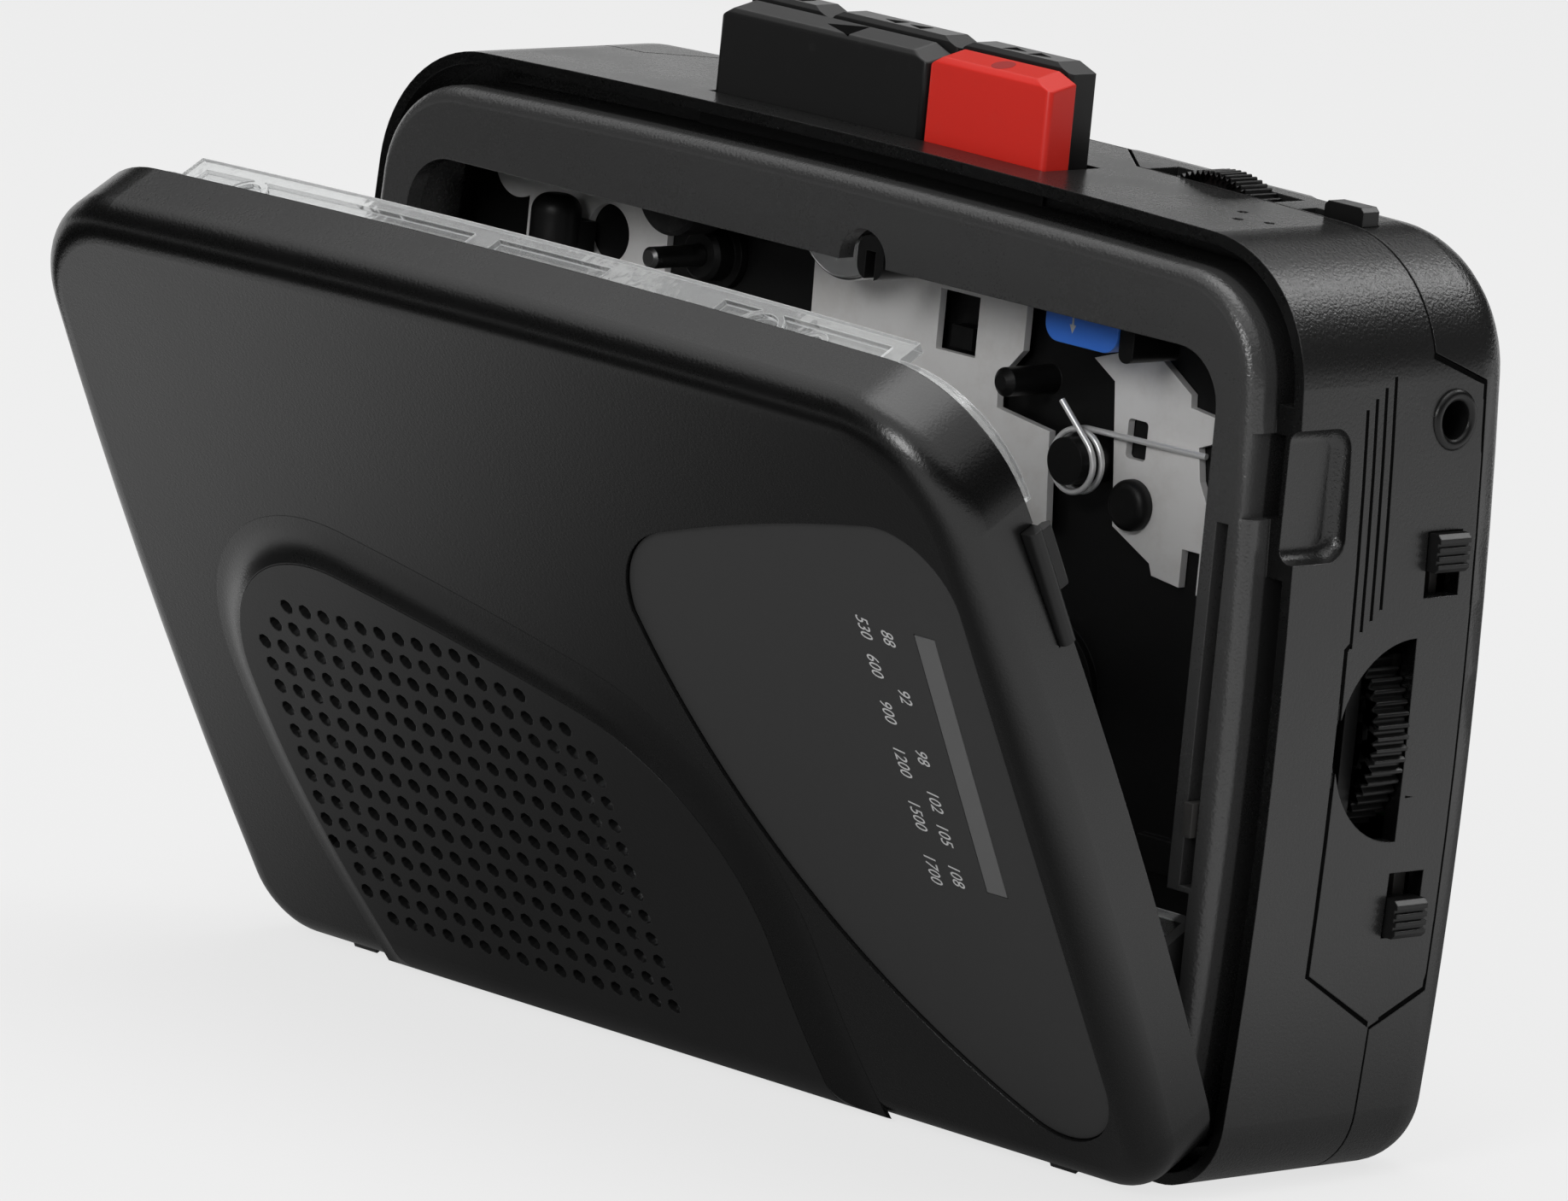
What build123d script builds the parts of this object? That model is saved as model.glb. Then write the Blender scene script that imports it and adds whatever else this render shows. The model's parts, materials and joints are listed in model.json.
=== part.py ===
from build123d import *
from functools import lru_cache
from math import cos, radians, sin
import os

os.makedirs("parts", exist_ok=True)

# Body, with x to the right, y to the rear from the housing's front edge and z up from its base
BODY_W = 118.0
BODY_H = 83.4
BODY_D = 28.2
CROWN = 1.2
SIDE_BOW = 2.1
TOP_R = 12.5
FOOT_R = 7.0
REAR_R = 5.5
WALL = 1.6
HALF_W = BODY_W / 2

# Batteries, whose size sets how far forward the deck lies
CELL_R = 6.75
CELL_L = 50.3
CELL_CLEAR = 0.65
CELL_GAP = 0.6
BAY_LEFT = 6.4 - HALF_W
BAY_LOW = 6.4
CELL_X = BAY_LEFT + 1.4 + CELL_L / 2
CELL_Y = BODY_D - WALL - CELL_CLEAR - CELL_R
CELL_LOW = BAY_LOW + CELL_CLEAR + CELL_R
CELL_Z = (CELL_LOW, CELL_LOW + 2 * CELL_R + CELL_GAP)
BAY_RIGHT = CELL_X + CELL_L / 2 + 4.3
BAY_HIGH = CELL_Z[1] + CELL_R + 0.95
DECK_T = 1.6
DECK_Y = CELL_Y - CELL_R - 0.25 - DECK_T

# Seam between front housing and rear cover
SEAM_Y = BODY_D - 11.7
SEAM_GAP = 0.25
SIDE_TAB = 6.5
TOP_TAB = 6.1

# Bezel, its groove and the cassette well
BEZEL_STEP = 3.0
BEZEL_INSET = 3.0
BEZEL_T = 1.8
BEZEL_R = 1.5
GROOVE_LIP = 1.1
GROOVE_D = 4.8
WELL_HALF = HALF_W - 8.2
WELL_TOP = BODY_H - 10.4
WELL_R = 5.0
LOW_HALF = WELL_HALF + 2.6
LOW_TOP = 26.5
WELL_FOOT = 6.5
WELL_T = 1.2

# Door, modelled shut and then swung open about its hinge
DOOR_T = 8.2
DOOR_R = 3.2
DOOR_WALL = 1.3
DOOR_GAP = 0.3
DOOR_FOOT = 2.1
FOOT_WALL = 0.8
HINGE_Y = -2.0
HINGE_Z = 4.5
OPEN_DEG = 29.2
PIN_R = 0.9
PIN_CLEAR = 0.05
BOSS_R = 1.9
KNUCKLE_X = 44.5
KNUCKLE_W = 3.0
LATCH_Z = BODY_H - 20.2
LATCH_H = 11.2
HOOK_H = 6.0
SCOOP_D = 1.5
SCOOP_R = 2.0

# Raised grille and the hollow flank that runs out from it into the door's face
RAISE = 1.5
FLANK = 4.2
FLANK_STEP = 0.02
GRILLE_FOOT = 1.5
GRILLE_FOOT_R = 5.5
GRILLE_GAP = 0.05

# Cassette holder
FENCE_GAP = 0.25
FENCE_T = 1.0
FENCE_REAR = 4.3
FLOOR_Y = -4.9
FLOOR_T = 1.0
GUIDE_X = WELL_HALF - 0.2
GUIDE_T = 1.2
HOLDER_SCREW_X = (-40.0, 0.0, 40.0)
HOLDER_SCREW_Z = BODY_H - 13.4
POCKET_D = 0.55
POCKETS = ((-43.0, -8.0), (-5.0, 9.0), (23.0, 43.0))
BOSSES = ((-36.0, 2.4), (28.8, 2.6), (35.4, 1.6))

# Grille holes and dial
HOLE_PITCH = 2.436
HOLE_R = 0.78
GRILLE_X = 23.8 - HALF_W
GRILLE_Z = 44.3
DIAL_T = 0.6
DIAL_SINK = 0.4
DIAL_X = WELL_HALF + 2.1
POINTER_Z = 32.9
SPEAKER_X = GRILLE_X + 16.7
SPEAKER_Z = GRILLE_Z - 17.8

# Keys
KEY_X0 = -21.2
KEY_UNIT = 13.35
KEY_ROW = 3.11 * KEY_UNIT
KEY_GAP = 0.3
KEY_RISE = 7.5
KEY_STEP = 1.3
KEY_H = 10.1
KEY_D = 3.2
KEY_TRAVEL = 2.4
STEM_L = 5.2
KEY_TOP = BODY_H + KEY_RISE
KEY_FOOT = KEY_TOP - KEY_H
STEM_FOOT = KEY_FOOT - STEM_L
SHELF_Z = STEM_FOOT + 1.9
FRONT_KEY_Y = DECK_Y - 5.6

# Column, width, row and stem place of each key, in key units
KEYS = {
    "key_play": (0, 1.97, 0, 0.40),
    "key_record": (1.97, 1.14, 0, 2.5),
    "key_stop": (0, 0.77, 1, 0.45),
    "key_rewind": (0.77, 1.22, 1, 1.38),
    "key_forward": (1.99, 1.04, 1, 2.5),
}

# Deck mechanism
SPINDLE_X = 21.25
SPINDLE_Z = WELL_FOOT + 30.5
CAPSTAN_X = -23.5
CAPSTAN_Z = WELL_TOP - 5.2
CAPSTAN_R = 1.0
FLYWHEEL_R = 11.0
FLYWHEEL_Y = DECK_Y + 3.3
PULLEY_R = 3.0
MOTOR_X = 32.0
MOTOR_Z = 18.5
MOTOR_R = 11.0
PINCH_R = 4.2
PINCH_GAP = 1.0
PIVOT_X = 6.3 - WELL_HALF
PIVOT_Z = WELL_TOP + 1.6
BEARING_R = 3.2
NOSE_R = 2.4
PLATE_T = 0.8
FIXED_PLATE_Y = DECK_Y - 0.9
HEAD_PLATE_Y = FIXED_PLATE_Y - 1.0
SEAT_GAP = 0.05
POST_X = 25.3
POST_Z = WELL_TOP - 14.6
POST_R = 2.1
STAKE_X = 30.6
STAKE_Z = WELL_TOP - 17.7
SPRING_WIRE_R = 0.28
SPRING_R = 2.75
SPRING_PITCH = 1.1

# Controls
BOARD_Y = BODY_D - 7.2
TUNER_Z = BODY_H / 2 - 2.0
TUNER_R = 10.3
TUNER_X = HALF_W + 0.4 - TUNER_R
TUNER_Y = DECK_Y + 1.9
TUNER_W = 3.9
VOLUME_X = HALF_W - 29.8
VOLUME_R = 9.0
VOLUME_Z = BODY_H + 0.9 - VOLUME_R
VOLUME_Y = BODY_D - 11.1
VOLUME_W = 3.3
SOURCE_Z = TUNER_Z + 15.4
SOURCE_Y = BODY_D - 9.1
BAND_Z = TUNER_Z - 14.7
BAND_Y = BODY_D - 9.6
SLOT_H = 5.8
KNOB_H = 3.4
KNOB_W = 3.9
SLOT_CLEAR = 0.25
MODE_X = HALF_W - 15.5
MODE_Y = BODY_D - 10.1
MODE_TOP = BODY_H + 0.8
JACK_Y = BODY_D - 8.9
JACK_Z = SOURCE_Z + 12.5
JACK_R = 2.55
JACK_BORE = 1.75
MIC_X = HALF_W - 16.8
MIC_Y = DECK_Y - 0.9

# Rear screws
SCREW_X = HALF_W - 10
SCREW_Z = JACK_Z + 4.4
SCREWS = ((-SCREW_X, SCREW_Z), (SCREW_X, SCREW_Z), (SCREW_X, 12.0), (BAY_RIGHT + 4.6, BODY_H / 2 + 0.3))


def slab(sketch, front, back):
    return extrude(Plane.XZ.offset(-back) * sketch, back - front)


def side_slab(sketch, left, right):
    return extrude(Plane.YZ.offset(left) * sketch, right - left)


def top_slab(sketch, low, high):
    return extrude(Plane.XY.offset(low) * sketch, high - low)


def rod(x, z, radius, front, back):
    return slab(Pos(x, z) * Circle(radius), front, back)


def bar(y, z, radius, left, right):
    return side_slab(Pos(y, z) * Circle(radius), left, right)


def block(left, right, front, back, low, high):
    size = (right - left, back - front, high - low)
    return Pos((left + right) / 2, (front + back) / 2, (low + high) / 2) * Box(*size)


def plate(points, radius=0.0):
    face = make_face(Polyline(*points, close=True))
    return fillet(face.vertices(), radius) if radius else face


def both_sides(shape):
    return [shape, mirror(shape, about=Plane.YZ)]


def bow_radius(half, rise):
    return (half ** 2 + rise ** 2) / (2 * rise)


@lru_cache
def outline(inset=0.0, base=0.0):
    middle = BODY_H / 2
    side = bow_radius(middle, SIDE_BOW)
    crown = bow_radius(BODY_W / 2, CROWN)
    face = Pos(side - BODY_W / 2, middle) * Circle(side - inset)
    face = face & Pos(BODY_W / 2 - side, middle) * Rot(0, 0, 180) * Circle(side - inset)
    face = face & Pos(0, BODY_H - crown) * Circle(crown - inset)
    face = face & Pos(0, base + inset + BODY_H) * Rectangle(2 * BODY_W, 2 * BODY_H)
    face = fillet(face.vertices().sort_by(Axis.Y)[-2:], TOP_R - inset)
    return fillet(face.vertices().sort_by(Axis.Y)[:2], FOOT_R - inset)


def ring(outer, inner, front, back):
    return slab(outline(outer), front, back) - slab(outline(inner), front - 1, back + 1)


def side_x(z):
    mid = BODY_H / 2
    return BODY_W / 2 - SIDE_BOW * ((z - mid) / mid) ** 2


# Housing

def front_zone(gap=0.0):
    seam = SEAM_Y + gap
    tab = seam + SIDE_TAB
    high = JACK_Z + 3.0 + gap
    low = BAND_Z - 7.9 - gap
    side = [(seam - 2, high + 2.8), (seam, high + 2.6), (tab, high)]
    side += [(tab, low), (seam, low - 3.0), (seam - 2, low - 3.0)]
    rear = seam + TOP_TAB
    left = KEY_X0 - 14.8 - gap
    right = KEY_X0 + 34.7 + gap
    top = [(left - 6.0, seam - 2), (left - 6.0, seam), (left, rear)]
    top += [(right, rear), (right + 7.0, seam), (right + 7.0, seam - 2)]
    zone = block(-BODY_W, BODY_W, -BODY_D, seam, -BODY_H, 2 * BODY_H)
    zone += side_slab(plate(side), HALF_W - 9, BODY_W)
    return zone + top_slab(plate(top), WELL_TOP, 2 * BODY_H)


@lru_cache
def skin():
    body = slab(outline(), 0, BODY_D)
    body = fillet(body.edges().group_by(Axis.Y)[-1], REAR_R)
    hollow = slab(outline(WALL), -1, BODY_D - WALL)
    return body - fillet(hollow.edges().group_by(Axis.Y)[-1], REAR_R - WALL)


@lru_cache
def well(grow=0.0):
    upper = Pos(0, (WELL_FOOT + WELL_TOP) / 2) * Rectangle(2 * WELL_HALF, WELL_TOP - WELL_FOOT)
    upper = fillet(upper.vertices().group_by(Axis.Y)[-1], WELL_R)
    lower = Pos(0, (WELL_FOOT + LOW_TOP) / 2) * Rectangle(2 * LOW_HALF, LOW_TOP - WELL_FOOT)
    shape = upper + lower
    return offset(shape, amount=grow) if grow else shape


def bezel():
    face = slab(outline(BEZEL_INSET), -BEZEL_STEP, BEZEL_T - BEZEL_STEP)
    face = fillet(face.edges().group_by(Axis.Y)[0], BEZEL_R)
    rear = GROOVE_D + WALL
    wall = ring(BEZEL_INSET, BEZEL_INSET + WALL, BEZEL_T - BEZEL_STEP, rear)
    web = ring(0.8, BEZEL_INSET + WALL, GROOVE_D, rear)
    frame = face + wall + web
    frame -= slab(well(), -9, DECK_Y)
    frame -= slab(Pos(7.2, WELL_TOP + 0.2) * Circle(2.9), -9, 0)
    sides = slab(well(WELL_T), BEZEL_T - BEZEL_STEP, DECK_Y) - slab(well(), -9, DECK_Y + 1)
    sides = sides & block(-BODY_W, BODY_W, -9, DECK_Y + 1, 0, WELL_TOP - 9)
    frame += sides
    frame -= block(-BODY_W, BODY_W, -9, 0, 0, HINGE_Z - 0.7)
    for corner in both_sides(block(KNUCKLE_X + 0.5, BODY_W, -9, 0, 0, HINGE_Z + 0.4)):
        frame -= corner
    return frame - block(DIAL_X - 0.7, DIAL_X + 0.7, -9, 0, POINTER_Z - 5.9, POINTER_Z + 25.9)


def hinge_boss(x):
    left = bar(HINGE_Y, HINGE_Z, BOSS_R, x - 4.0, x - KNUCKLE_W / 2 - DOOR_GAP)
    right = bar(HINGE_Y, HINGE_Z, BOSS_R, x + KNUCKLE_W / 2 + DOOR_GAP, x + 4.0)
    return left + right


def latch_backing():
    keep = slab(outline(), 0, GROOVE_D + WALL)
    return block(HALF_W - 3.8, HALF_W, 0, GROOVE_D + WALL, LATCH_Z - 8.7, LATCH_Z + 6.2) & keep


def side_grooves():
    depth = slab(outline(), 0, SEAM_Y + 9) - slab(outline(0.35), -1, SEAM_Y + 10)
    first = TUNER_Y - 4.5
    edge = first - 0.6
    turn = TUNER_Z + 8.6
    low = TUNER_Z - 20.5
    lines = [plate([(first, turn), (first + 0.4, turn), (first + 0.4, turn + 20.7), (first, turn + 20.7)])]
    for step in (1, 2, 3):
        foot = turn + 0.6 + 0.9 * step
        lines.append(Pos(first + 0.2 + 1.13 * step, foot + 10) * Rectangle(0.4, 20.2))
    lines.append(plate([(edge, low), (edge + 0.5, low), (edge + 0.5, turn - 0.2), (first + 0.4, turn + 0.5),
                        (first, turn + 0.5), (edge, turn)]))
    lines.append(plate([(edge, low + 0.1), (edge + 0.5, low + 0.2), (SEAM_Y - 0.1, low - 4.6),
                        (SEAM_Y - 0.1, low - 5.1)]))
    return [side_slab(line, HALF_W - 9, BODY_W) & depth for line in lines]


def side_openings():
    rear = TUNER_Y + TUNER_W + 0.2
    dish = Pos(rear, TUNER_Z) * Circle(TUNER_R - 1.3)
    dish -= Pos(rear + TUNER_R / 2, TUNER_Z) * Rectangle(TUNER_R, 3 * TUNER_R)
    slot = Rectangle(KNOB_W + 2 * SLOT_CLEAR, SLOT_H)
    cuts = [Pos(SOURCE_Y, SOURCE_Z) * slot, Pos(BAND_Y, BAND_Z) * slot]
    cuts += [dish, Pos(JACK_Y, JACK_Z) * Circle(JACK_R + 0.1)]
    return [side_slab(cut, HALF_W - 5, BODY_W) for cut in cuts]


def finger_scoop():
    middle = LATCH_Z - 1.4
    shape = Pos(1.4, middle) * Rectangle(10.0, 11.6)
    shape = fillet(shape.vertices().group_by(Axis.X)[-1], SCOOP_R)
    scoop = side_slab(shape, side_x(middle) - SCOOP_D, BODY_W)
    return fillet(scoop.edges().group_by(Axis.X)[0], SCOOP_D - 0.2)


def key_slot():
    right = KEY_X0 + KEY_ROW
    front = FRONT_KEY_Y - SLOT_CLEAR
    rear = FRONT_KEY_Y + 2 * KEY_D + KEY_GAP + SLOT_CLEAR
    return block(KEY_X0 - SLOT_CLEAR, right + SLOT_CLEAR, front, rear, WELL_TOP - 3, KEY_TOP)


def front_housing():
    body = skin() & front_zone()
    body += bezel()
    body -= ring(GROOVE_LIP, BEZEL_INSET, -0.01, GROOVE_D)
    body += latch_backing()
    body += both_sides(hinge_boss(KNUCKLE_X))
    cuts = both_sides(bar(HINGE_Y, HINGE_Z, PIN_R, KNUCKLE_X - 4, KNUCKLE_X + 4))
    half = KNUCKLE_W / 2 + DOOR_GAP
    low, high = HINGE_Z - 2.4, HINGE_Z + 2.4
    cuts += both_sides(block(KNUCKLE_X - half, KNUCKLE_X + half, -5, 0.6, low, high))
    hook = HOOK_H / 2 + 0.7
    cuts += [block(HALF_W - 4.15, HALF_W - 2.55, -4, 4.1, LATCH_Z - hook, LATCH_Z + hook)]
    ports = ((-2.6, 0.3), (-0.2, -2.8), (1.9, -1.1))
    cuts += [Pos(MIC_X + x, MIC_Y + y, BODY_H - 3.4) * Cylinder(0.5, 20) for x, y in ports]
    cuts += [key_slot(), finger_scoop()] + side_openings() + side_grooves()
    for cut in cuts:
        body -= cut
    return body


# Battery bay and rear cover

def bay_plate(grow, front, back):
    return block(BAY_LEFT - grow, BAY_RIGHT + grow, front, back, BAY_LOW - grow, BAY_HIGH + grow)


def rear_cover():
    body = skin() - front_zone(SEAM_GAP)
    body -= bay_plate(0.2, BODY_D - 3, BODY_D + 1)
    reach = (VOLUME_R ** 2 - (BODY_H - CROWN - WALL - VOLUME_Z) ** 2) ** 0.5 + 0.4
    rear = VOLUME_Y + VOLUME_W + 0.4
    body -= block(VOLUME_X - reach, VOLUME_X + reach, VOLUME_Y - 0.3, rear, WELL_TOP, KEY_TOP)
    body -= block(MODE_X - 3.9, MODE_X + 3.9, MODE_Y - 1.2, MODE_Y + 1.2, WELL_TOP, KEY_TOP)
    for x, z in SCREWS:
        body += rod(x, z, 3.4, BODY_D - 4.5, BODY_D - WALL)
        body -= rod(x, z, 2.5, BODY_D - 1.6, BODY_D + 1)
        body -= rod(x, z, 1.2, BODY_D - 6, BODY_D)
    return body


def rear_screws():
    group = []
    for x, z in SCREWS:
        screw = rod(x, z, 2.3, BODY_D - 1.6, BODY_D - 0.5) + rod(x, z, 1.15, BODY_D - 8, BODY_D - 1.6)
        screw -= block(x - 1.5, x + 1.5, BODY_D - 1.1, BODY_D, z - 0.25, z + 0.25)
        screw -= block(x - 0.25, x + 0.25, BODY_D - 1.1, BODY_D, z - 1.5, z + 1.5)
        group.append(screw)
    return Compound(group)


def battery_cover():
    cover = bay_plate(0, BODY_D - WALL, BODY_D)
    cover = fillet(cover.edges().filter_by(Axis.Y), 1.2)
    middle = (BAY_LEFT + BAY_RIGHT) / 2
    for step in range(4):
        z = BAY_HIGH - 4.0 - 1.6 * step
        cover -= block(middle - 7, middle + 7, BODY_D - 0.4, BODY_D + 1, z, z + 0.8)
    return cover


def battery_tray():
    rear = BODY_D - WALL - 0.3
    front = DECK_Y + DECK_T
    left = BAY_LEFT + 0.2
    right = BAY_RIGHT - 0.2
    tray = block(left, right, front, rear, BAY_LOW - 0.6, BAY_LOW + 0.3)
    tray += block(left, left + 0.5, front, rear, BAY_LOW, BAY_HIGH)
    return tray + block(right - 1.0, right, front, rear, BAY_LOW, BAY_HIGH - 5)


def battery_cells():
    cells = []
    for z, turn in zip(CELL_Z, (1, -1)):
        body = bar(CELL_Y, z, CELL_R, CELL_X - CELL_L / 2 + 0.7, CELL_X + CELL_L / 2 - 0.7)
        end = CELL_X + turn * (CELL_L / 2 - 0.7)
        body += bar(CELL_Y, z, 2.7, min(end, end + turn), max(end, end + turn))
        cells.append(body)
    return Compound(cells)


def battery_contacts():
    low, high = CELL_Z
    left = CELL_X - CELL_L / 2 - 0.35
    right = CELL_X + CELL_L / 2 + 0.35
    bridge = block(left - 0.25, left, CELL_Y - 4, CELL_Y + 4, low - 4, high + 4)
    tabs = [block(right, right + 0.4, CELL_Y - 4, CELL_Y + 4, z - 4, z + 4) for z in CELL_Z]
    tabs += [block(right + 0.4, right + 2.7, CELL_Y - 1, CELL_Y + 1, z - 1, z + 1) for z in CELL_Z]
    return Compound([bridge, tabs[0] + tabs[2], tabs[1] + tabs[3]])


# Door

def grille_edge():
    left, right = 25.1 - HALF_W, 79.9 - HALF_W
    rise = Line((left, GRILLE_FOOT - 3), (left - 5.3, GRILLE_FOOT + 11.3))
    swell = TangentArc(rise @ 1, (left - 9.9, 35.0), tangent=rise % 1)
    crest = TangentArc(swell @ 1, (left + 7.0, 49.4), tangent=swell % 1)
    brow = TangentArc(crest @ 1, (right - 20.0, 42.0), tangent=crest % 1)
    shoulder = TangentArc(brow @ 1, (right - 3.3, 20.0), tangent=brow % 1)
    fall = TangentArc(shoulder @ 1, (right, GRILLE_FOOT - 3), tangent=shoulder % 1)
    return Wire([rise, swell, crest, brow, shoulder, fall])


@lru_cache
def grille_face(grow=0.0):
    edge = grille_edge()
    face = make_face([*edge.edges(), Line(edge @ 1, edge @ 0)])
    return offset(face, amount=grow) if grow else face


def dial(grow=0.0):
    right = HALF_W - DOOR_R - 0.9
    top, foot = BODY_H - 12.6, DOOR_FOOT + 6.3
    left = TangentArc((right - 43.3, top - 16.9), (right - 36.3, top - 7.1), tangent=(0, 1))
    brow = TangentArc(left @ 1, (right - 8.5, top), tangent=left % 1)
    corner = TangentArc(brow @ 1, (right, top - 7.6), tangent=brow % 1)
    side = Line(corner @ 1, (right - 0.3, foot + 6.2))
    toe = TangentArc(side @ 1, (right - 11.0, foot), tangent=side % 1)
    sweep_back = ThreePointArc(toe @ 1, (right - 32.5, foot + 19.9), left @ 0)
    face = make_face([left, brow, corner, side, toe, sweep_back])
    return offset(face, amount=grow) if grow else face


def window(grow=0.0):
    x, low, high = HALF_W - 11.2, POINTER_Z + 0.2, POINTER_Z + 27.0
    face = plate([(x, high), (x + 2.4, high), (x + 1.4, low), (x - 1.0, low)])
    return offset(face, amount=grow, kind=Kind.INTERSECTION) if grow else face


def bevel_y(z):
    turn = radians(OPEN_DEG)
    return HINGE_Y + ((-DOOR_GAP - HINGE_Y) + (z - HINGE_Z) * sin(turn)) / cos(turn)


def foot_bevel(high, left, right):
    face = plate([(bevel_y(-2), -2), (bevel_y(high), high), (9, high), (9, -2)])
    return side_slab(face, left, right)


def knuckle(x):
    arm = bar(HINGE_Y, HINGE_Z, BOSS_R, x - KNUCKLE_W / 2, x + KNUCKLE_W / 2)
    low, high = HINGE_Z - BOSS_R, HINGE_Z + BOSS_R
    return arm + block(x - KNUCKLE_W / 2, x + KNUCKLE_W / 2, 1 - DOOR_T, HINGE_Y, low, high)


def grille_flank():
    radius = (FLANK ** 2 + RAISE ** 2) / (2 * RAISE)
    slope = radius - (radius ** 2 - FLANK ** 2 / 4) ** 0.5
    edge = grille_edge()
    hollow = ThreePointArc((FLANK, FLANK_STEP), (FLANK / 2, slope + FLANK_STEP), (0, RAISE))
    back = Polyline((0, RAISE), (-0.4, RAISE), (-0.4, -0.4), (FLANK, -0.4), (FLANK, FLANK_STEP))
    along = edge % 0
    start = edge @ 0
    frame = Plane(origin=(start.X, -DOOR_T, start.Y), x_dir=(-along.Y, 0, along.X), z_dir=(along.X, 0, along.Y))
    section = frame * make_face([hollow, back])
    path = Plane.XZ.offset(DOOR_T) * edge
    return sweep(section, path=path)


@lru_cache
def door_body(foot, front, radius):
    body = slab(outline(0, foot), front, -DOOR_GAP)
    return fillet(body.edges().group_by(Axis.Y)[0], radius)


def door_shell():
    shell = door_body(DOOR_FOOT, -DOOR_T, DOOR_R)
    shell += grille_flank() & door_body(GRILLE_FOOT, -DOOR_T - RAISE, GRILLE_FOOT_R)
    hollow = slab(outline(DOOR_WALL, DOOR_FOOT + FOOT_WALL - DOOR_WALL), DOOR_WALL - DOOR_T, 1)
    shell -= fillet(hollow.edges().group_by(Axis.Y)[0], DOOR_R - DOOR_WALL)
    shell -= slab(grille_face(GRILLE_GAP), -DOOR_T - RAISE - 1, FLOOR_Y)
    shell -= slab(dial(0.1), -DOOR_T - 1, DIAL_SINK + DIAL_T - DOOR_T)
    shell -= slab(window(-0.3), -DOOR_T - 1, FLOOR_Y)
    shell += both_sides(knuckle(KNUCKLE_X))
    inner = KNUCKLE_X - KNUCKLE_W / 2 - 0.1
    outer = KNUCKLE_X + KNUCKLE_W / 2 + 0.1
    latch = LATCH_H / 2 + 0.1
    cuts = both_sides(bar(HINGE_Y, HINGE_Z, PIN_R + PIN_CLEAR, inner, outer))
    cuts += [foot_bevel(8, -inner, inner)]
    cuts += [block(HALF_W - 2.7, BODY_W, -2.0, 0, LATCH_Z - latch, LATCH_Z + latch)]
    cuts += both_sides(foot_bevel(8, outer, BODY_W))
    cuts += both_sides(foot_bevel(HINGE_Z - BOSS_R - 0.05, inner, outer))
    cuts += both_sides(bar(HINGE_Y, HINGE_Z, BOSS_R + DOOR_GAP, KNUCKLE_X - 4.3, inner))
    cuts += both_sides(bar(HINGE_Y, HINGE_Z, BOSS_R + DOOR_GAP, outer, KNUCKLE_X + 4.3))
    for cut in cuts:
        shell -= cut
    return shell


def grille_holes():
    columns = [(1, 11), (0, 13), (-1, 15)] + 9 * [(-1, 16)] + [(0, 16), (0, 16), (1, 16)]
    spots = []
    for row, (first, last) in enumerate(columns):
        z = GRILLE_Z - row * HOLE_PITCH
        spots += [(GRILLE_X + (step - 1) * HOLE_PITCH, z) for step in range(first, last + 1)]
    return Sketch() + [Pos(*spot) * RegularPolygon(HOLE_R, 8) for spot in spots]


def speaker_grille():
    front = -DOOR_T - RAISE
    panel = slab(grille_face(), front, FLOOR_Y - 0.3) & door_body(GRILLE_FOOT, front, GRILLE_FOOT_R)
    hollow = slab(grille_face(-DOOR_WALL), front + DOOR_WALL, 0)
    panel -= hollow & block(-BODY_W, BODY_W, front, 0, GRILLE_FOOT_R, BODY_H)
    return panel - slab(grille_holes(), front - 1, 0)


def dial_panel():
    front = DIAL_SINK - DOOR_T
    return slab(dial(), front, front + DIAL_T) - slab(window(0.1), front - 1, 0)


def dial_window():
    front = DIAL_SINK - DOOR_T
    return slab(window(), front, front + DIAL_T)


def door_latch():
    inner, middle = HALF_W - 3.85, HALF_W - 1.8
    low, high = LATCH_Z - HOOK_H / 2, LATCH_Z + HOOK_H / 2
    rib = block(middle, HALF_W + 0.5, -1.9, -0.35, LATCH_Z - LATCH_H / 2, LATCH_Z + LATCH_H / 2)
    rib = fillet(rib.edges().filter_by(Axis.Z).group_by(Axis.X)[-1], 0.6)
    web = block(inner, middle, -1.9, -0.35, low, high)
    hook = block(inner, inner + 1.0, -1.9, 3.4, low, high)
    return rib + web + chamfer(hook.edges().filter_by(Axis.Z).group_by(Axis.Y)[-1], 0.4)


def cassette_holder():
    outer = DOOR_WALL + FENCE_GAP
    keep = block(-BODY_W, BODY_W, -9, 20, DOOR_FOOT + 6.9, BODY_H)
    floor = slab(outline(outer), FLOOR_Y, FLOOR_Y + FLOOR_T) & keep
    fence = ring(outer, outer + FENCE_T, FLOOR_Y, FENCE_REAR)
    for left, right in POCKETS:
        pocket = ring(outer, outer + POCKET_D, 0.2, FENCE_REAR - 1.4)
        fence -= pocket & block(left, right, -9, 20, WELL_TOP, BODY_H)
    for x, radius in BOSSES:
        boss = Pos(x, 0.6, BODY_H) * (Cylinder(radius, 40) - Cylinder(radius - 0.6, 50))
        fence += boss & ring(outer, outer + FENCE_T, 0, FENCE_REAR - 1.2) & keep
    tall = block(-45, 45, -9, 20, WELL_TOP + 2, BODY_H)
    low = block(-BODY_W, BODY_W, -9, 1.6, WELL_TOP - 3.2, BODY_H)
    holder = floor + (fence & (tall + low))
    holder -= rod(SPEAKER_X, SPEAKER_Z, 9.0, -9, 9)
    lip = DECK_Y - 1.2
    side = block(GUIDE_X, GUIDE_X + GUIDE_T, FLOOR_Y, lip, 9.5, 20)
    turn = block(GUIDE_X - 4, GUIDE_X + GUIDE_T, lip - 1.0, lip, 9.5, 20)
    for guide in both_sides(side + turn):
        holder += guide
    for x in HOLDER_SCREW_X:
        holder += rod(x, HOLDER_SCREW_Z, 2.4, DOOR_WALL - DOOR_T, FLOOR_Y)
    return holder


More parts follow.
